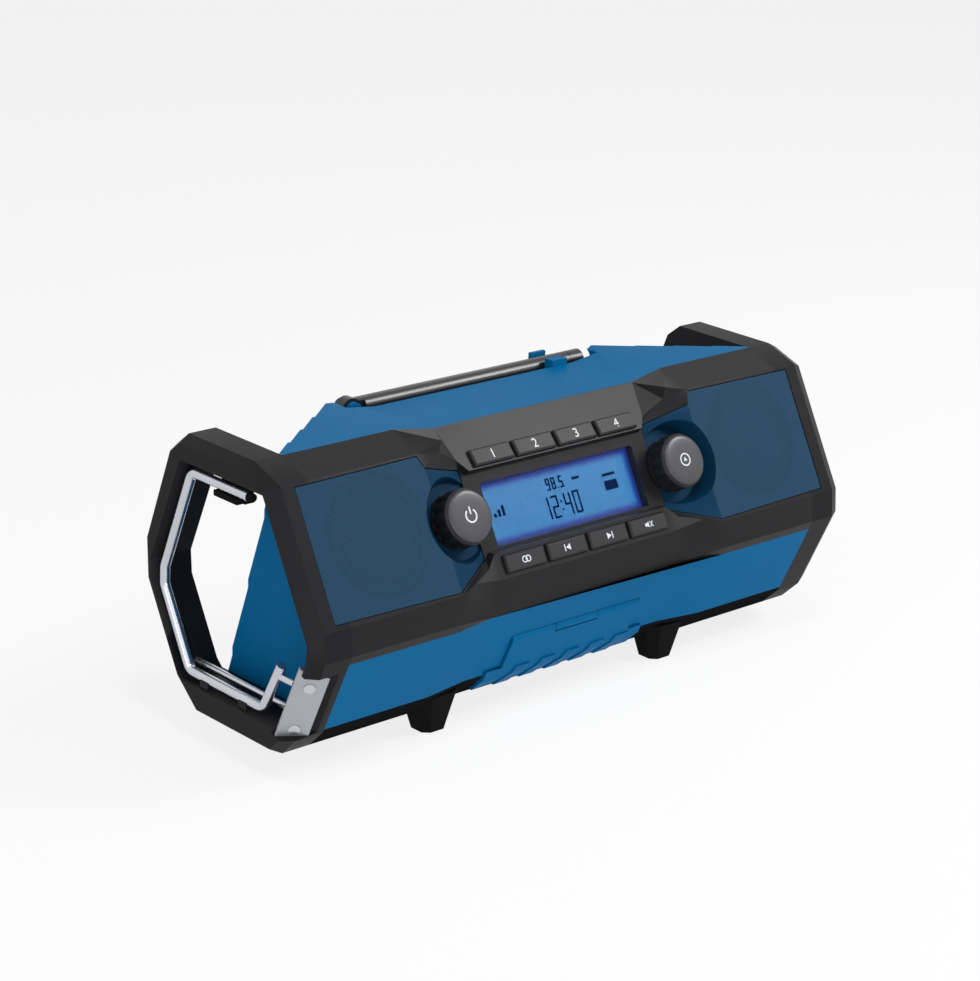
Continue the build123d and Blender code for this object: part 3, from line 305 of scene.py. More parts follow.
def glyph(name, shapes, depth):
    """A flat sign from bars, wedges and hoops, given a thickness; lengths in millimetres."""
    deselect()
    bpy.ops.mesh.primitive_plane_add(size=1.0)
    sign = bpy.context.active_object
    sign.name = name
    bpy.ops.object.mode_set(mode="EDIT")
    bpy.ops.mesh.delete(type="VERT")
    for kind, *numbers in shapes:
        SHAPES[kind](*numbers)
    bpy.ops.mesh.select_all(action="SELECT")
    bpy.ops.transform.resize(value=(MM, MM, MM), center_override=(0.0, 0.0, 0.0))
    bpy.ops.mesh.remove_doubles(threshold=MERGE)
    bpy.ops.mesh.normals_make_consistent(inside=False)
    bpy.ops.object.mode_set(mode="OBJECT")
    thicken(sign, depth)
    return sign


def thicken(piece, depth):
    choose(piece)
    for face in piece.data.polygons:
        if face.normal.z < 0.0:
            face.flip()
    solid = piece.modifiers.new("thickness", "SOLIDIFY")
    solid.thickness = depth
    solid.offset = 1.0
    bpy.ops.object.modifier_apply(modifier=solid.name)


def numeral(name, figures, height, depth):
    """A printed number as a thin raised piece, centred on the origin."""
    deselect()
    bpy.ops.object.text_add()
    sign = bpy.context.active_object
    sign.name = name
    sign.data.body = figures
    sign.data.size = height * FONT_SHARE
    sign.data.align_x = "CENTER"
    sign.data.align_y = "CENTER"
    bpy.ops.object.convert(target="MESH")
    settle(sign)
    sign = bpy.context.active_object
    corners = [vertex.co for vertex in sign.data.vertices]
    middle = (max(c.y for c in corners) + min(c.y for c in corners)) / 2
    sign.location.y = -middle
    settle(sign)
    thicken(sign, depth)
    return sign


def finish_sign(sign, finish, node):
    """Gives a sign its finish and lets it move with the node that carries it."""
    give(sign, finish)
    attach(sign, body_of_node(node))


def press_out(key):
    """The way a key's top faces: against its travel."""
    for joint in frame["record"]["behaviour"]["joints"]:
        if joint["name"] == key + "_press":
            return -Vector(joint["axis"])
    raise RuntimeError("no press joint for " + key)


# ---------------------------------------------------------------- shared node groups


def group(name, inputs, outputs):
    """A node group with named sockets, and its input and output nodes."""
    tree = bpy.data.node_groups.new(name, "ShaderNodeTree")
    for label, kind, default in inputs:
        socket = tree.interface.new_socket(name=label, in_out="INPUT", socket_type=kind)
        socket.default_value = default
    for label, kind in outputs:
        tree.interface.new_socket(name=label, in_out="OUTPUT", socket_type=kind)
    return tree, tree.nodes.new("NodeGroupInput"), tree.nodes.new("NodeGroupOutput")


def node(tree, kind, **settings):
    made = tree.nodes.new(kind)
    for key, value in settings.items():
        setattr(made, key, value)
    return made


def math_node(tree, operation, first, second):
    made = node(tree, "ShaderNodeMath", operation=operation)
    for socket, value in zip(made.inputs, (first, second)):
        if isinstance(value, bpy.types.NodeSocket):
            tree.links.new(value, socket)
        else:
            socket.default_value = value
    return made.outputs[0]


def noise(tree, scale, detail, coordinates):
    made = node(tree, "ShaderNodeTexNoise")
    made.inputs["Detail"].default_value = detail
    if isinstance(scale, bpy.types.NodeSocket):
        tree.links.new(scale, made.inputs["Scale"])
    else:
        made.inputs["Scale"].default_value = scale
    tree.links.new(coordinates, made.inputs["Vector"])
    return made.outputs["Fac"]


def face_lengths(tree, centre):
    """How far a point lies from a centre, rightwards and up the console's face."""
    place = node(tree, "ShaderNodeTexCoord").outputs["Object"]
    offset = node(tree, "ShaderNodeVectorMath", operation="SUBTRACT")
    tree.links.new(place, offset.inputs[0])
    if isinstance(centre, bpy.types.NodeSocket):
        tree.links.new(centre, offset.inputs[1])
    else:
        offset.inputs[1].default_value = centre
    lengths = []
    for axis in (CONSOLE_RIGHT, CONSOLE_UP):
        along = node(tree, "ShaderNodeVectorMath", operation="DOT_PRODUCT")
        tree.links.new(offset.outputs[0], along.inputs[0])
        along.inputs[1].default_value = axis
        lengths.append(along.outputs["Value"])
    return lengths


def grain_group():
    """Fine pitted texture of a moulding, with a slow drift of sheen."""
    tree, source, sink = group(
        "moulding grain",
        [("Scale", "NodeSocketFloat", 1400.0), ("Drift", "NodeSocketFloat", 18.0)],
        [("Height", "NodeSocketFloat"), ("Sheen", "NodeSocketFloat")],
    )
    place = node(tree, "ShaderNodeTexCoord").outputs["Object"]
    fine = noise(tree, source.outputs["Scale"], 2.0, place)
    broad = noise(tree, source.outputs["Drift"], 3.0, place)
    tree.links.new(fine, sink.inputs["Height"])
    tree.links.new(broad, sink.inputs["Sheen"])
    return tree


def tone_group():
    """A base colour that wanders a little lighter and darker over the surface."""
    tree, source, sink = group(
        "tone drift",
        [
            ("Colour", "NodeSocketColor", (0.5, 0.5, 0.5, 1.0)),
            ("Amount", "NodeSocketFloat", 0.12),
            ("Scale", "NodeSocketFloat", 30.0),
        ],
        [("Colour", "NodeSocketColor")],
    )
    place = node(tree, "ShaderNodeTexCoord").outputs["Object"]
    cloud = noise(tree, source.outputs["Scale"], 4.0, place)
    centred = math_node(tree, "SUBTRACT", cloud, 0.5)
    swing = math_node(tree, "MULTIPLY", centred, source.outputs["Amount"])
    level = math_node(tree, "ADD", swing, 1.0)
    tint = node(tree, "ShaderNodeVectorMath", operation="SCALE")
    tree.links.new(source.outputs["Colour"], tint.inputs[0])
    tree.links.new(level, tint.inputs["Scale"])
    tree.links.new(tint.outputs[0], sink.inputs["Colour"])
    return tree


def mesh_group():
    """Staggered holes of a sheet that leans with the console, and faint rings of painted shade where the
    speaker's embossed rim shows through.
    """
    tree, source, sink = group(
        "perforated sheet",
        [("Pitch", "NodeSocketFloat", 1.3 * MM), ("Centre", "NodeSocketVector", (0.0, 0.0, 0.0))],
        [("Hole", "NodeSocketFloat"), ("Ring", "NodeSocketFloat")],
    )
    waves = []
    squares = []
    for length in face_lengths(tree, source.outputs["Centre"]):
        share = math_node(tree, "DIVIDE", length, source.outputs["Pitch"])
        phase = math_node(tree, "MULTIPLY", share, math.pi)
        waves.append(math_node(tree, "COSINE", phase, 0.0))
        squares.append(math_node(tree, "MULTIPLY", length, length))
    hole = math_node(tree, "ABSOLUTE", math_node(tree, "MULTIPLY", *waves), 0.0)
    edge = node(tree, "ShaderNodeMapRange", interpolation_type="SMOOTHSTEP")
    edge.inputs["From Min"].default_value, edge.inputs["From Max"].default_value = HOLE_EDGE
    tree.links.new(hole, edge.inputs["Value"])
    tree.links.new(edge.outputs["Result"], sink.inputs["Hole"])
    radius = math_node(tree, "SQRT", math_node(tree, "ADD", *squares), 0.0)
    # Painted shade: the speaker's embossed rim, seen through the sheet, becomes rings of darkening.
    ring = node(tree, "ShaderNodeValToRGB")
    ramp = ring.color_ramp
    ramp.elements[0].color = (SPEAKER_HUB_SHADE, SPEAKER_HUB_SHADE, SPEAKER_HUB_SHADE, 1.0)
    ramp.elements[1].color = (0.0, 0.0, 0.0, 1.0)
    for share, level in SPEAKER_RING_SHADES:
        step = ramp.elements.new(share)
        step.color = (level, level, level, 1.0)
    tree.links.new(math_node(tree, "DIVIDE", radius, SPEAKER_REACH), ring.inputs["Fac"])
    tree.links.new(ring.outputs["Color"], sink.inputs["Ring"])
    return tree


# Where a hole's rim begins and ends, on the wave that draws the holes.
HOLE_EDGE = (0.32, 0.62)
SPEAKER_REACH = 34.0 * MM
# How strongly painted shade of the speaker's embossed rim shows through, at its hub and at shares of its
# reach.
SPEAKER_HUB_SHADE = 0.2
SPEAKER_RING_SHADES = (
    (0.4, 0.25),
    (0.62, 0.45),
    (0.68, 0.9),
    (0.72, 0.35),
    (0.79, 0.5),
    (0.84, 1.0),
    (0.9, 0.1),
)
GROUPS = {}


def shared(name, maker):
    if name not in GROUPS:
        GROUPS[name] = maker()
    return GROUPS[name]


def place_group(tree, maker, **values):
    made = node(tree, "ShaderNodeGroup", node_tree=shared(maker.__name__, maker))
    for label, value in values.items():
        made.inputs[label].default_value = value
    return made


# ---------------------------------------------------------------- finishes


def new_finish(name):
    finish = bpy.data.materials.new(name)
    finish.use_nodes = True
    tree = finish.node_tree
    return finish, tree, tree.nodes["Principled BSDF"]


def between(tree, value, low, high):
    """The value, from 0 to 1, spread from low to high."""
    made = node(tree, "ShaderNodeMapRange")
    made.inputs["To Min"].default_value = low
    made.inputs["To Max"].default_value = high
    tree.links.new(value, made.inputs["Value"])
    return made.outputs["Result"]


def roughen(tree, shader, height, strength, distance, invert=False):
    """Bumps the surface by a height from 0 to 1."""
    bump = node(tree, "ShaderNodeBump", invert=invert)
    bump.inputs["Strength"].default_value = strength
    bump.inputs["Distance"].default_value = distance
    tree.links.new(height, bump.inputs["Height"])
    tree.links.new(bump.outputs["Normal"], shader.inputs["Normal"])


def moulded(name, colour, rough, grain=1400.0, drift=0.14, shine=0.3):
    """Injection moulded plastic with a fine grain."""
    finish, tree, shader = new_finish(name)
    tone = place_group(tree, tone_group, Colour=colour, Amount=drift)
    tree.links.new(tone.outputs["Colour"], shader.inputs["Base Color"])
    texture = place_group(tree, grain_group, Scale=grain)
    roughen(tree, shader, texture.outputs["Height"], 0.05, 0.1 * MM)
    sheen = between(tree, texture.outputs["Sheen"], rough - MOULD_SWING, rough + MOULD_SWING)
    tree.links.new(sheen, shader.inputs["Roughness"])
    shader.inputs["Specular IOR Level"].default_value = shine
    return finish


# How far a moulding's roughness wanders either way.
MOULD_SWING = 0.07
# Sockets of a colour mix: factor, first colour, second colour and result.
MIX_FACTOR, MIX_FIRST, MIX_SECOND, MIX_RESULT = 0, 6, 7, 2
# How much painted shade darkens the paint in a hole and over a speaker's ring.
HOLE_SHADE = 0.3
RING_SHADE = 0.14


def mesh_finish(name, colours, pitch, centre):
    """Painted perforated steel, darkened by painted shade in its holes and over the speaker's rim."""
    finish, tree, shader = new_finish(name)
    tone = place_group(tree, tone_group, Colour=colours.grille, Amount=0.1, Scale=22.0)
    sheet = place_group(tree, mesh_group, Pitch=pitch, Centre=centre)
    shade = node(tree, "ShaderNodeMix", data_type="RGBA")
    # Painted shade: the holes and the speaker's rim are mixed towards the hole colour.
    shade.inputs[MIX_SECOND].default_value = colours.grille_hole
    tree.links.new(tone.outputs["Colour"], shade.inputs[MIX_FIRST])
    depth = math_node(tree, "MULTIPLY", sheet.outputs["Hole"], HOLE_SHADE)
    ring = math_node(tree, "MULTIPLY", sheet.outputs["Ring"], RING_SHADE)
    tree.links.new(math_node(tree, "ADD", depth, ring), shade.inputs[MIX_FACTOR])
    tree.links.new(shade.outputs[MIX_RESULT], shader.inputs["Base Color"])
    roughen(tree, shader, sheet.outputs["Hole"], 0.2, 0.2 * MM, invert=True)
    tree.links.new(between(tree, sheet.outputs["Hole"], 0.5, 0.8), shader.inputs["Roughness"])
    shader.inputs["Specular IOR Level"].default_value = 0.06
    return finish


def metal(name, colour, rough):
    """Drawn or plated metal with faint mottling."""
    finish, tree, shader = new_finish(name)
    tone = place_group(tree, tone_group, Colour=colour, Amount=0.12, Scale=60.0)
    tree.links.new(tone.outputs["Colour"], shader.inputs["Base Color"])
    shader.inputs["Metallic"].default_value = 1.0
    texture = place_group(tree, grain_group, Scale=300.0, Drift=90.0)
    sheen = between(tree, texture.outputs["Sheen"], rough - 0.08, rough + 0.1)
    tree.links.new(sheen, shader.inputs["Roughness"])
    roughen(tree, shader, texture.outputs["Height"], 0.05, 0.05 * MM)
    return finish


def screen_finish(colours):
    """Backlit display whose light fades to an unlit rim."""
    finish, tree, shader = new_finish("lit screen")
    halves = []
    for axis in (CONSOLE_RIGHT, CONSOLE_UP):
        points = [vertex.co.dot(axis) for vertex in frame["nodes"]["display_panel"].data.vertices]
        halves.append((max(points) - min(points)) / 2)
    rooms = []
    for length, half in zip(face_lengths(tree, box_middle("display_panel")), halves):
        away = math_node(tree, "ABSOLUTE", length, 0.0)
        rooms.append(math_node(tree, "SUBTRACT", half, away))
    room = math_node(tree, "DIVIDE", math_node(tree, "MINIMUM", *rooms), GLOW_REACH)
    ramp = node(tree, "ShaderNodeValToRGB")
    elements = ramp.color_ramp.elements
    elements[0].position = 0.04
    elements[0].color = colours.screen_edge
    elements[1].color = colours.screen
    glow = elements.new(0.45)
    glow.color = colours.screen_glow
    tree.links.new(room, ramp.inputs["Fac"])
    shader.inputs["Base Color"].default_value = (0.004, 0.01, 0.02, 1.0)
    tree.links.new(ramp.outputs["Color"], shader.inputs["Emission Color"])
    shader.inputs["Emission Strength"].default_value = 1.3
    shader.inputs["Roughness"].default_value = 0.4
    return finish


GLOW_REACH = 4.6 * MM


def lens_finish():
    """Clear hard-coated window, too thin to bend what lies behind it."""
    finish, tree, shader = new_finish("clear window")
    texture = place_group(tree, grain_group, Scale=900.0, Drift=25.0)
    tree.links.new(between(tree, texture.outputs["Sheen"], 0.05, 0.12), shader.inputs["Roughness"])
    shader.inputs["Base Color"].default_value = (0.01, 0.02, 0.04, 1.0)
    shader.inputs["Alpha"].default_value = 0.06
    return finish


def box_middle(name):
    low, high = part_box(name)
    return (Vector(low) + Vector(high)) / 2


def make_finishes():
    """Every finish of the radio by name."""
    colours = bpy.context.scene.radio_colours
    pitch = bpy.context.scene.radio_sizes.mesh_pitch
    centres = {side: box_middle("speaker_cone_" + side) for side in ("left", "right")}
    return {
        "blue": moulded("blue shell", colours.blue, 0.4, shine=0.02),
        "charcoal": moulded("charcoal moulding", colours.charcoal, 0.33, shine=0.11),
        "ring": moulded("ring moulding", colours.charcoal, 0.4, grain=1100.0, shine=0.06),
        "left mesh": mesh_finish("left grille mesh", colours, pitch, centres["left"]),
        "right mesh": mesh_finish("right grille mesh", colours, pitch, centres["right"]),
        "dish": moulded("dish paint", colours.dish, 0.5, drift=0.1, shine=0.06),
        "key": moulded("key rubber", colours.key, 0.45, shine=0.2),
        "knob": moulded("knob plastic", colours.charcoal, 0.38, shine=0.2),
        "cap": moulded("dial cap", srgb(64, 64, 67), 0.3, shine=0.3),
        "black": moulded("black moulding", srgb(26, 26, 27), 0.6, shine=0.0),
        "rubber": moulded("foot rubber", colours.rubber, 0.75, shine=0.04),
        "legend": moulded("legend ink", colours.legend, 0.5),
        "steel": metal("bright steel", colours.steel, 0.26),
        "plate": metal("corner plate", srgb(172, 174, 180), 0.5),
        "tube": moulded("aerial tube", srgb(24, 24, 26), 0.3, shine=0.5),
        "brass": metal("contact brass", srgb(200, 170, 110), 0.35),
        "magnet": moulded("magnet ferrite", srgb(60, 60, 62), 0.7),
        "cone": moulded("cone paper", srgb(34, 34, 36), 0.85, grain=600.0),
        "board": moulded("circuit board", srgb(30, 92, 52), 0.4),
        "part": moulded("component package", srgb(36, 36, 38), 0.45),
        "liner": moulded("liner plastic", srgb(40, 40, 42), 0.6),
        "screen": screen_finish(colours),
        "lens": lens_finish(),
        "ink": moulded("display ink", srgb(10, 30, 66), 0.6, shine=0.0),
    }


FINISHES = {}

# ---------------------------------------------------------------- the stage

# Each softbox: its name, place in metres, side in metres and power in watts.
LAMPS = (
    ("key softbox", (0.98, -0.72, 1.1), 0.55, 16.0),
    ("top softbox", (-0.3, -0.5, 1.5), 0.25, 6.0),
    ("left softbox", (-1.5, -0.2, 0.75), 0.9, 6.5),
    ("front softbox", (-0.6, -1.5, 0.3), 0.9, 9.0),
)
# What the lamps aim at.
LAMP_AIM = Vector((0.0, 0.0, 0.07))
# How strong the surroundings are as a light, against what the eye sees of them.
WORLD_SHARE = 0.25
FLOOR_SIDE = 14.0
FLOOR_GREY = 0.86
# How much of the floor that the eye sees is plain white.
FLOOR_WHITE = 0.82
SENSOR_WIDTH = 36.0


class RADIO_OT_stage(bpy.types.Operator):
    """Set up the floor, the studio light and the camera"""

    bl_idname = "radio.stage"
    bl_label = "Stage"

    def execute(self, context):
        view = context.scene.radio_view
        data = bpy.data.cameras.new("camera")
        data.lens = view.lens
        data.sensor_width = SENSOR_WIDTH
        data.clip_end = 50.0
        camera = bpy.data.objects.new("camera", data)
        context.collection.objects.link(camera)
        turn = Matrix.Rotation(-view.turn, 4, "Z")
        tilt = Matrix.Rotation(math.pi / 2 - view.tilt, 4, "X")
        roll = Matrix.Rotation(view.roll, 4, "Z")
        camera.matrix_world = Matrix.Translation(view.place) @ turn @ tilt @ roll
        context.scene.camera = camera
        self.floor()
        self.world(context)
        for name, place, size, power in LAMPS:
            self.lamp(name, place, size, power)
        context.scene.view_settings.view_transform = "Standard"
        return {"FINISHED"}

    def floor(self):
        deselect()
        bpy.ops.mesh.primitive_plane_add(size=FLOOR_SIDE, location=(0.0, 0.0, 0.0))
        floor = bpy.context.active_object
        floor.name = "floor"
        finish, tree, shader = new_finish("floor paper")
        shader.inputs["Base Color"].default_value = (FLOOR_GREY, FLOOR_GREY, FLOOR_GREY, 1.0)
        shader.inputs["Roughness"].default_value = 0.9
        glow = node(tree, "ShaderNodeEmission")
        glow.inputs["Strength"].default_value = 1.0
        paper = node(tree, "ShaderNodeMixShader")
        white = math_node(tree, "MULTIPLY", seen_directly(tree), FLOOR_WHITE)
        tree.links.new(white, paper.inputs["Fac"])
        tree.links.new(shader.outputs["BSDF"], paper.inputs[1])
        tree.links.new(glow.outputs["Emission"], paper.inputs[2])
        tree.links.new(paper.outputs["Shader"], tree.nodes["Material Output"].inputs["Surface"])
        give(floor, finish)

    def world(self, context):
        world = bpy.data.worlds.new("studio")
        context.scene.world = world
        world.use_nodes = True
        tree = world.node_tree
        background = tree.nodes["Background"]
        background.inputs["Color"].default_value = (1.0, 1.0, 1.0, 1.0)
        strength = node(tree, "ShaderNodeMapRange")
        strength.inputs["To Min"].default_value = WORLD_SHARE
        strength.inputs["To Max"].default_value = 1.0
        tree.links.new(seen_directly(tree), strength.inputs["Value"])
        tree.links.new(strength.outputs["Result"], background.inputs["Strength"])

    def lamp(self, name, place, size, power):
        data = bpy.data.lights.new(name, "AREA")
        data.shape = "SQUARE"
        data.size = size
        data.energy = power
        lamp = bpy.data.objects.new(name, data)
        bpy.context.collection.objects.link(lamp)
        turned = (LAMP_AIM - Vector(place)).to_track_quat("-Z", "Y").to_matrix().to_4x4()
        lamp.matrix_world = Matrix.Translation(place) @ turned


def seen_directly(tree):
    """1 for rays that reach the eye straight, by a reflection or through glass."""
    path = node(tree, "ShaderNodeLightPath")
    direct = math_node(tree, "MAXIMUM", path.outputs["Is Camera Ray"], path.outputs["Is Glossy Ray"])
    return math_node(tree, "MAXIMUM", direct, path.outputs["Is Transmission Ray"])


# ---------------------------------------------------------------- the pieces


class RADIO_OT_shells(bpy.types.Operator):
    """Round and finish the fascia, the blue shells and the tray"""

    bl_idname = "radio.shells"
    bl_label = "Shells"

    def execute(self, context):
        edge = context.scene.radio_sizes.shell_edge
        for shell in ("front_lower_shell", "top_shell", "rear_shell"):
            dress(shell, FINISHES["blue"], edge)
        dress("front_fascia", FINISHES["charcoal"], edge)
        dress("bottom_tray", FINISHES["black"], edge)
        return {"FINISHED"}


class RADIO_OT_rings(bpy.types.Operator):
    """Round and finish the two end rings and the feet"""

    bl_idname = "radio.rings"
    bl_label = "End rings"

    def execute(self, context):
        edge = context.scene.radio_sizes.shell_edge
        for ring in ("left_end_ring", "right_end_ring"):
            dress(ring, FINISHES["ring"], edge)
        for feet in ("front_feet", "rear_feet"):
            dress(feet, FINISHES["rubber"], edge)
        return {"FINISHED"}


class RADIO_OT_grilles(bpy.types.Operator):
    """Finish the two speaker grilles"""

    bl_idname = "radio.grilles"
    bl_label = "Grilles"

    def execute(self, context):
        edge = context.scene.radio_sizes.small_edge
        for side, dial in (("left", "power"), ("right", "source")):
            panel = dress("speaker_grille_" + side, FINISHES[side + " mesh"], edge)
            panel.data.materials.append(FINISHES["dish"])
            self.paint_dish(panel, outer_spot(dial + "_knob", CONSOLE_OUT).translation)
        return {"FINISHED"}

    def paint_dish(self, panel, dial_top):
        """The hollow about the dial is plain paint: its wall slants and its floor lies deep."""
        for face in panel.data.polygons:
            from_axis = face.center - dial_top
            sunk = from_axis.dot(CONSOLE_OUT)
            radius = (from_axis - CONSOLE_OUT * sunk).length
            wall = abs(face.normal.dot(CONSOLE_OUT)) < DISH_WALL_FACING and sunk < -DISH_WALL_DEPTH
            if radius < DISH_REACH and (wall or sunk < -DISH_FLOOR_DEPTH):
                face.material_index = 1


DISH_REACH = 26.0 * MM
# A dish's wall faces outwards less than this, and starts this far below the dial's top.
DISH_WALL_FACING = 0.95
DISH_WALL_DEPTH = 1.0 * MM
DISH_FLOOR_DEPTH = 12.0 * MM


class RADIO_OT_display(bpy.types.Operator):
    """Light the display behind its window"""

    bl_idname = "radio.display"
    bl_label = "Display"

    def execute(self, context):
        edge = context.scene.radio_sizes.small_edge
        dress("display_lens", FINISHES["lens"], edge)
        give(frame["nodes"]["display_panel"], FINISHES["screen"])
        spot = outer_spot("display_panel", CONSOLE_OUT)
        depth = context.scene.radio_sizes.legend_depth
        shapes = [shape for line in DISPLAY_LINES for shape in figures(*line)]
        for name, marks in (("display_figures", shapes), ("display_marks", DISPLAY_MARKS)):
            sign = glyph(name, marks, depth)
            lay_on(sign, spot)
            finish_sign(sign, FINISHES["ink"], "display_panel")
        return {"FINISHED"}


# Each line of figures: its text, X, Y, height, pitch and stroke in millimetres.
DISPLAY_LINES = (
    ("12:40", 0.0, -4.2, 11.5, 6.0, 1.05),
    ("98.5", -1.0, 7.4, 6.2, 3.6, 0.9),
)
# Which bars each figure lights, from a at the top clockwise to f, with g across the middle.
SEGMENTS = {
    "0": "abcdef", "1": "bc", "2": "abged", "3": "abgcd", "4": "fgbc",
    "5": "afgcd", "6": "afgedc", "7": "abc", "8": "abcdefg", "9": "abcdfg",
}
SEGMENT_PLACES = {
    "a": (0.0, 1.0), "b": (0.5, 0.5), "c": (0.5, -0.5), "d": (0.0, -1.0),
    "e": (-0.5, -0.5), "f": (-0.5, 0.5), "g": (0.0, 0.0),
}
DISPLAY_MARKS = [
    ("bar", 35.0, -0.5, 8.6, 4.8), ("bar", 35.0, 5.0, 8.6, 1.4), ("bar", 13.2, 7.4, 5.0, 1.3),
    ("bar", -43.0, -0.9, 1.7, 2.0), ("bar", -40.2, -0.1, 1.7, 3.6), ("bar", -37.4, 0.7, 1.7, 5.2),
]


def figures(text, x, y, tall, pitch, stroke):
    """Seven-bar figures as flat shapes, centred on a place."""
    widths = [pitch * (POINT_SHARE if mark in ":." else 1.0) for mark in text]
    cursor = x - sum(widths) / 2
    shapes = []
    for mark, width in zip(text, widths):
        centre = cursor + width / 2
        cursor += width
        if mark == ":":
            for share in COLON_SHARES:
                shapes.append(("bar", centre, y + tall * share, stroke, stroke))
            continue
        if mark == ".":
            shapes.append(("bar", centre, y - tall / 2 + stroke / 2, stroke, stroke))
            continue
        wide = pitch * FIGURE_SHARE
        for bar in SEGMENTS[mark]:
            across, up = SEGMENT_PLACES[bar]
            flat = bar in "adg"
            reach = wide - FLAT_BAR_GAP if flat else tall / 2 - UPRIGHT_BAR_GAP
            size = (reach, stroke) if flat else (stroke, reach)
            bar_x = centre + across * (wide - stroke)
            bar_y = y + up * (tall - stroke) / 2 if flat else y + up * tall / 2
            shapes.append(("bar", bar_x, bar_y, *size))
    return shapes


# A point's and a figure's share of the pitch, and where a colon's dots stand on the height.
POINT_SHARE = 0.42
FIGURE_SHARE = 0.74
COLON_SHARES = (0.18, -0.18)
# What a bar stops short by, in millimetres.
FLAT_BAR_GAP = 0.4
UPRIGHT_BAR_GAP = 0.3


PRESET_KEYS = ("preset_key_1", "preset_key_2", "preset_key_3", "preset_key_4")
LOWER_KEYS = ("link_key", "previous_key", "next_key", "mute_key")


class RADIO_OT_keys(bpy.types.Operator):
    """Finish the keys and their legends"""

    bl_idname = "radio.keys"
    bl_label = "Keys"

    def execute(self, context):
        sizes = context.scene.radio_sizes
        for key in PRESET_KEYS + LOWER_KEYS:
            dress(key, FINISHES["key"], sizes.small_edge)
        for count, key in enumerate(PRESET_KEYS, start=1):
            sign = numeral(key + "_number", str(count), sizes.legend_height, sizes.legend_depth)
            self.print_on(sign, key)
        for key, shapes in KEY_SIGNS.items():
            self.print_on(glyph(key + "_sign", shapes, sizes.legend_depth), key)
        return {"FINISHED"}

    def print_on(self, sign, key):
        lay_on(sign, outer_spot(key, press_out(key)), LEGEND_SINK)
        finish_sign(sign, FINISHES["legend"], key)


LEGEND_SINK = 0.02 * MM
RIGHTWARDS = -math.pi / 2
LEFTWARDS = math.pi / 2
KEY_SIGNS = {
    "link_key": [("hoop", -1.1, 0.0, 1.7, 0.55), ("hoop", 1.1, 0.0, 1.7, 0.55)],
    "previous_key": [("bar", -2.2, 0.0, 0.6, 3.4), ("wedge", 0.4, 0.0, 1.9, LEFTWARDS)],
    "next_key": [("bar", 2.2, 0.0, 0.6, 3.4), ("wedge", -0.4, 0.0, 1.9, RIGHTWARDS)],
    "mute_key": [
        ("bar", -2.0, 0.0, 1.2, 1.6),
        ("wedge", -0.9, 0.0, 1.7, LEFTWARDS),
        ("bar", 1.7, 0.0, 0.5, 3.4, math.radians(35.0)),
        ("bar", 1.7, 0.0, 0.5, 3.4, math.radians(-35.0)),
    ],
}


class RADIO_OT_dials(bpy.types.Operator):
    """Finish the two fluted dials"""

    bl_idname = "radio.dials"
    bl_label = "Dials"

    def execute(self, context):
        sizes = context.scene.radio_sizes
        for dial, shapes in DIAL_SIGNS.items():
            knob = dial + "_knob"
            dress(knob, FINISHES["knob"], sizes.small_edge)
            spot = outer_spot(knob, CONSOLE_OUT)
            cap = self.domed_cap(dial + "_cap", sizes.cap_rise)
            lay_on(cap, spot, CAP_SINK)
            finish_sign(cap, FINISHES["cap"], knob)
            sign = glyph(dial + "_sign", shapes, sizes.legend_depth)
            lay_on(sign, spot, -sizes.cap_rise + SIGN_SINK)
            finish_sign(sign, FINISHES["legend"], knob)
        return {"FINISHED"}

    def domed_cap(self, name, rise):
        """A shallow round cap, raised a little at each inset."""
        deselect()
        bpy.ops.mesh.primitive_circle_add(vertices=CAP_SIDES, radius=CAP_RADIUS, fill_type="NGON")
        cap = bpy.context.active_object
        cap.name = name
        bpy.ops.object.mode_set(mode="EDIT")
        bpy.ops.mesh.select_all(action="SELECT")
        level = 0.0
        for inset, share in CAP_STEPS:
            bpy.ops.mesh.inset(thickness=inset, depth=0.0)
            bpy.ops.transform.translate(value=(0.0, 0.0, (share - level) * rise))
            level = share
        bpy.ops.object.mode_set(mode="OBJECT")
        bpy.ops.object.shade_smooth()
        return cap


CAP_SINK = 0.05 * MM
SIGN_SINK = 0.03 * MM
CAP_SIDES = 72
CAP_RADIUS = 12.7 * MM
# Each step inwards over a cap, and the share of its rise that is reached there.
CAP_STEPS = (
    (0.25 * MM, 0.45),
    (0.6 * MM, 0.72),
    (1.4 * MM, 0.88),
    (2.6 * MM, 0.97),
    (3.4 * MM, 1.0),
)
DIAL_SIGNS = {
    "power": [("hoop", 0.0, 0.0, 3.6, 0.85, math.radians(70.0)), ("bar", 0.0, 2.6, 0.85, 3.8)],
    "source": [("hoop", 0.0, 0.0, 3.4, 0.7), ("wedge", 0.0, 0.0, 1.3, 0.0)],
}


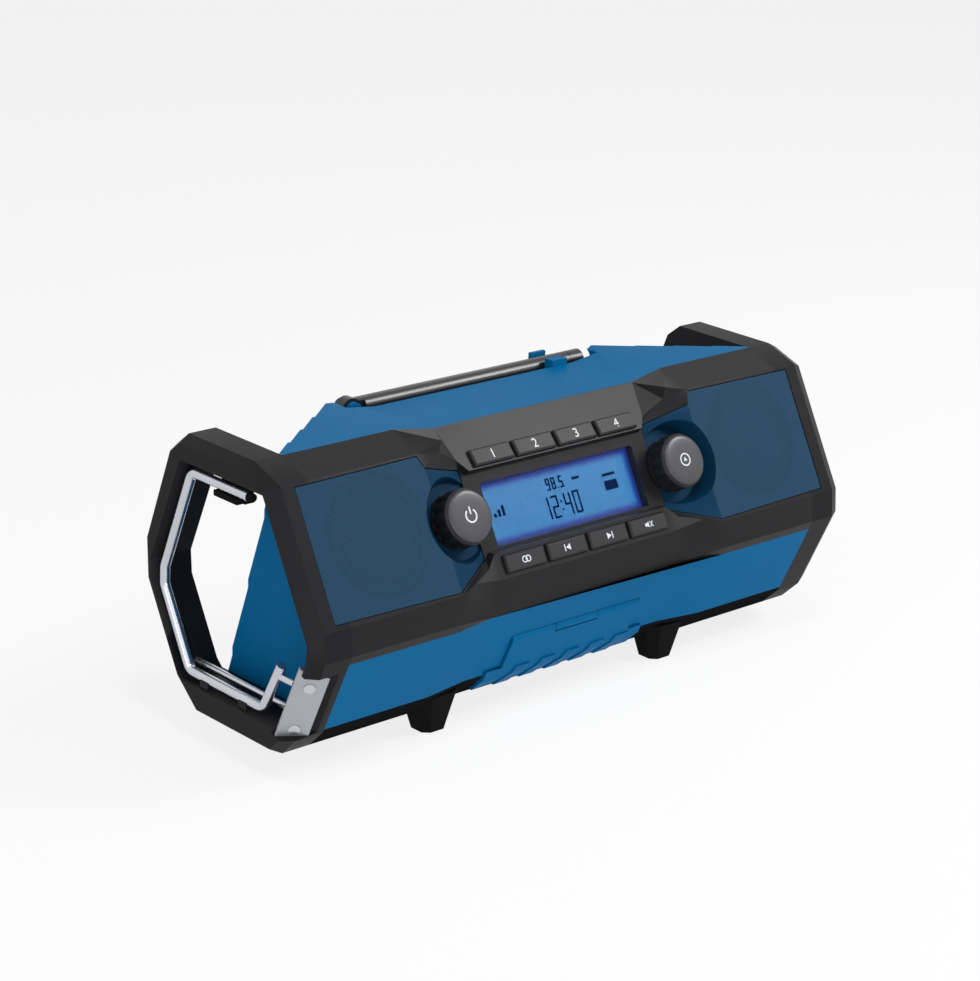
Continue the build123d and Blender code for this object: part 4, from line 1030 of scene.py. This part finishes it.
class RADIO_OT_steelwork(bpy.types.Operator):
    """Finish the hook, its guard rod, clip and corner plate"""

    bl_idname = "radio.steelwork"
    bl_label = "Hook and plate"

    def execute(self, context):
        edge = context.scene.radio_sizes.small_edge
        dress("hanging_hook", FINISHES["steel"], 0.0)
        dress("hook_guard_rod", FINISHES["steel"], 0.0)
        dress("hook_plate", FINISHES["plate"], edge)
        dress("hook_clip", FINISHES["black"], edge)
        self.end_plug()
        return {"FINISHED"}

    def end_plug(self):
        """A black plug in the open end of the hook's upper run."""
        low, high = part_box("hanging_hook")
        radius = (high[0] - low[0]) / 2
        wire = frame["nodes"]["hanging_hook"].data.vertices
        end_y = min(vertex.co.y for vertex in wire if vertex.co.z > high[2] - 3 * radius)
        deselect()
        bpy.ops.mesh.primitive_cylinder_add(
            vertices=PLUG_SIDES,
            radius=radius * PLUG_SHARE,
            depth=PLUG_LENGTH,
            rotation=(math.pi / 2, 0.0, 0.0),
            location=(low[0] + radius, end_y - PLUG_REACH, high[2] - radius),
        )
        plug = bpy.context.active_object
        plug.name = "hook_end_plug"
        settle(plug)
        soften(plug, PLUG_EDGE)
        finish_sign(plug, FINISHES["black"], "hanging_hook")


PLUG_SIDES = 32
# The plug's radius against the wire's, its length, how far its middle lies past the end, and its edge.
PLUG_SHARE = 0.86
PLUG_LENGTH = 4.4 * MM
PLUG_REACH = 1.0 * MM
PLUG_EDGE = 0.5 * MM


class RADIO_OT_lid(bpy.types.Operator):
    """Finish the socket lid"""

    bl_idname = "radio.lid"
    bl_label = "Socket lid"

    def execute(self, context):
        dress("socket_lid", FINISHES["blue"], context.scene.radio_sizes.small_edge)
        return {"FINISHED"}


class RADIO_OT_aerial(bpy.types.Operator):
    """Finish the folding aerial"""

    bl_idname = "radio.aerial"
    bl_label = "Aerial"

    def execute(self, context):
        dress("aerial_rod", FINISHES["tube"], 0.0)
        dress("aerial_inner_rod", FINISHES["tube"], 0.0)
        return {"FINISHED"}


INNER_FINISHES = {
    "screen": ("display_panel",),
    "liner": ("display_frame", "battery_bay", "battery_terminal_block", "socket_bay", "supply_inlet"),
    "board": ("display_board", "upper_key_board", "lower_key_board", "main_board"),
    "part": ("board_components", "key_switches", "power_encoder", "source_encoder", "aux_jack"),
    "cone": ("speaker_cone_left", "speaker_cone_right"),
    "magnet": ("speaker_magnet_left", "speaker_magnet_right"),
    "steel": (
        "speaker_basket_left",
        "speaker_basket_right",
        "speaker_screws",
        "case_screws",
        "ring_screws",
        "plate_rivets",
        "socket_lid_pin",
        "aerial_pivot_pin",
        "power_dial_shaft",
        "source_dial_shaft",
        "usb_socket",
    ),
    "brass": ("battery_contacts",),
}


class RADIO_OT_insides(bpy.types.Operator):
    """Finish what lies inside and behind the shells"""

    bl_idname = "radio.insides"
    bl_label = "Insides"

    def execute(self, context):
        for finish, nodes in INNER_FINISHES.items():
            for name in nodes:
                give(frame["nodes"][name], FINISHES[finish])
        return {"FINISHED"}


PIECE_OPERATORS = (
    RADIO_OT_stage,
    RADIO_OT_insides,
    RADIO_OT_shells,
    RADIO_OT_rings,
    RADIO_OT_grilles,
    RADIO_OT_display,
    RADIO_OT_keys,
    RADIO_OT_dials,
    RADIO_OT_steelwork,
    RADIO_OT_lid,
    RADIO_OT_aerial,
)


class RADIO_PT_panel(bpy.types.Panel):
    """Lists the radio's settings and pieces"""

    bl_idname = "RADIO_PT_panel"
    bl_label = "Jobsite radio"
    bl_space_type = "VIEW_3D"
    bl_region_type = "UI"
    bl_category = "Radio"

    def draw(self, context):
        for settings in (context.scene.radio_colours, context.scene.radio_sizes, context.scene.radio_view):
            box = self.layout.box()
            for name in settings.__annotations__:
                box.prop(settings, name)
        for operator in PIECE_OPERATORS:
            self.layout.operator(operator.bl_idname)


SETTINGS = {"radio_colours": RadioColours, "radio_sizes": RadioSizes, "radio_view": RadioView}
CLASSES = (*SETTINGS.values(), *PIECE_OPERATORS, RADIO_PT_panel)


def register():
    for item in CLASSES:
        bpy.utils.register_class(item)
    for name, settings in SETTINGS.items():
        setattr(bpy.types.Scene, name, bpy.props.PointerProperty(type=settings))


def unregister():
    for name in SETTINGS:
        delattr(bpy.types.Scene, name)
    for item in reversed(CLASSES):
        bpy.utils.unregister_class(item)


def main():
    register()
    FINISHES.update(make_finishes())
    for operator in PIECE_OPERATORS:
        getattr(bpy.ops.radio, operator.bl_idname.split(".")[1])()


if __name__ == "__main__":
    main()
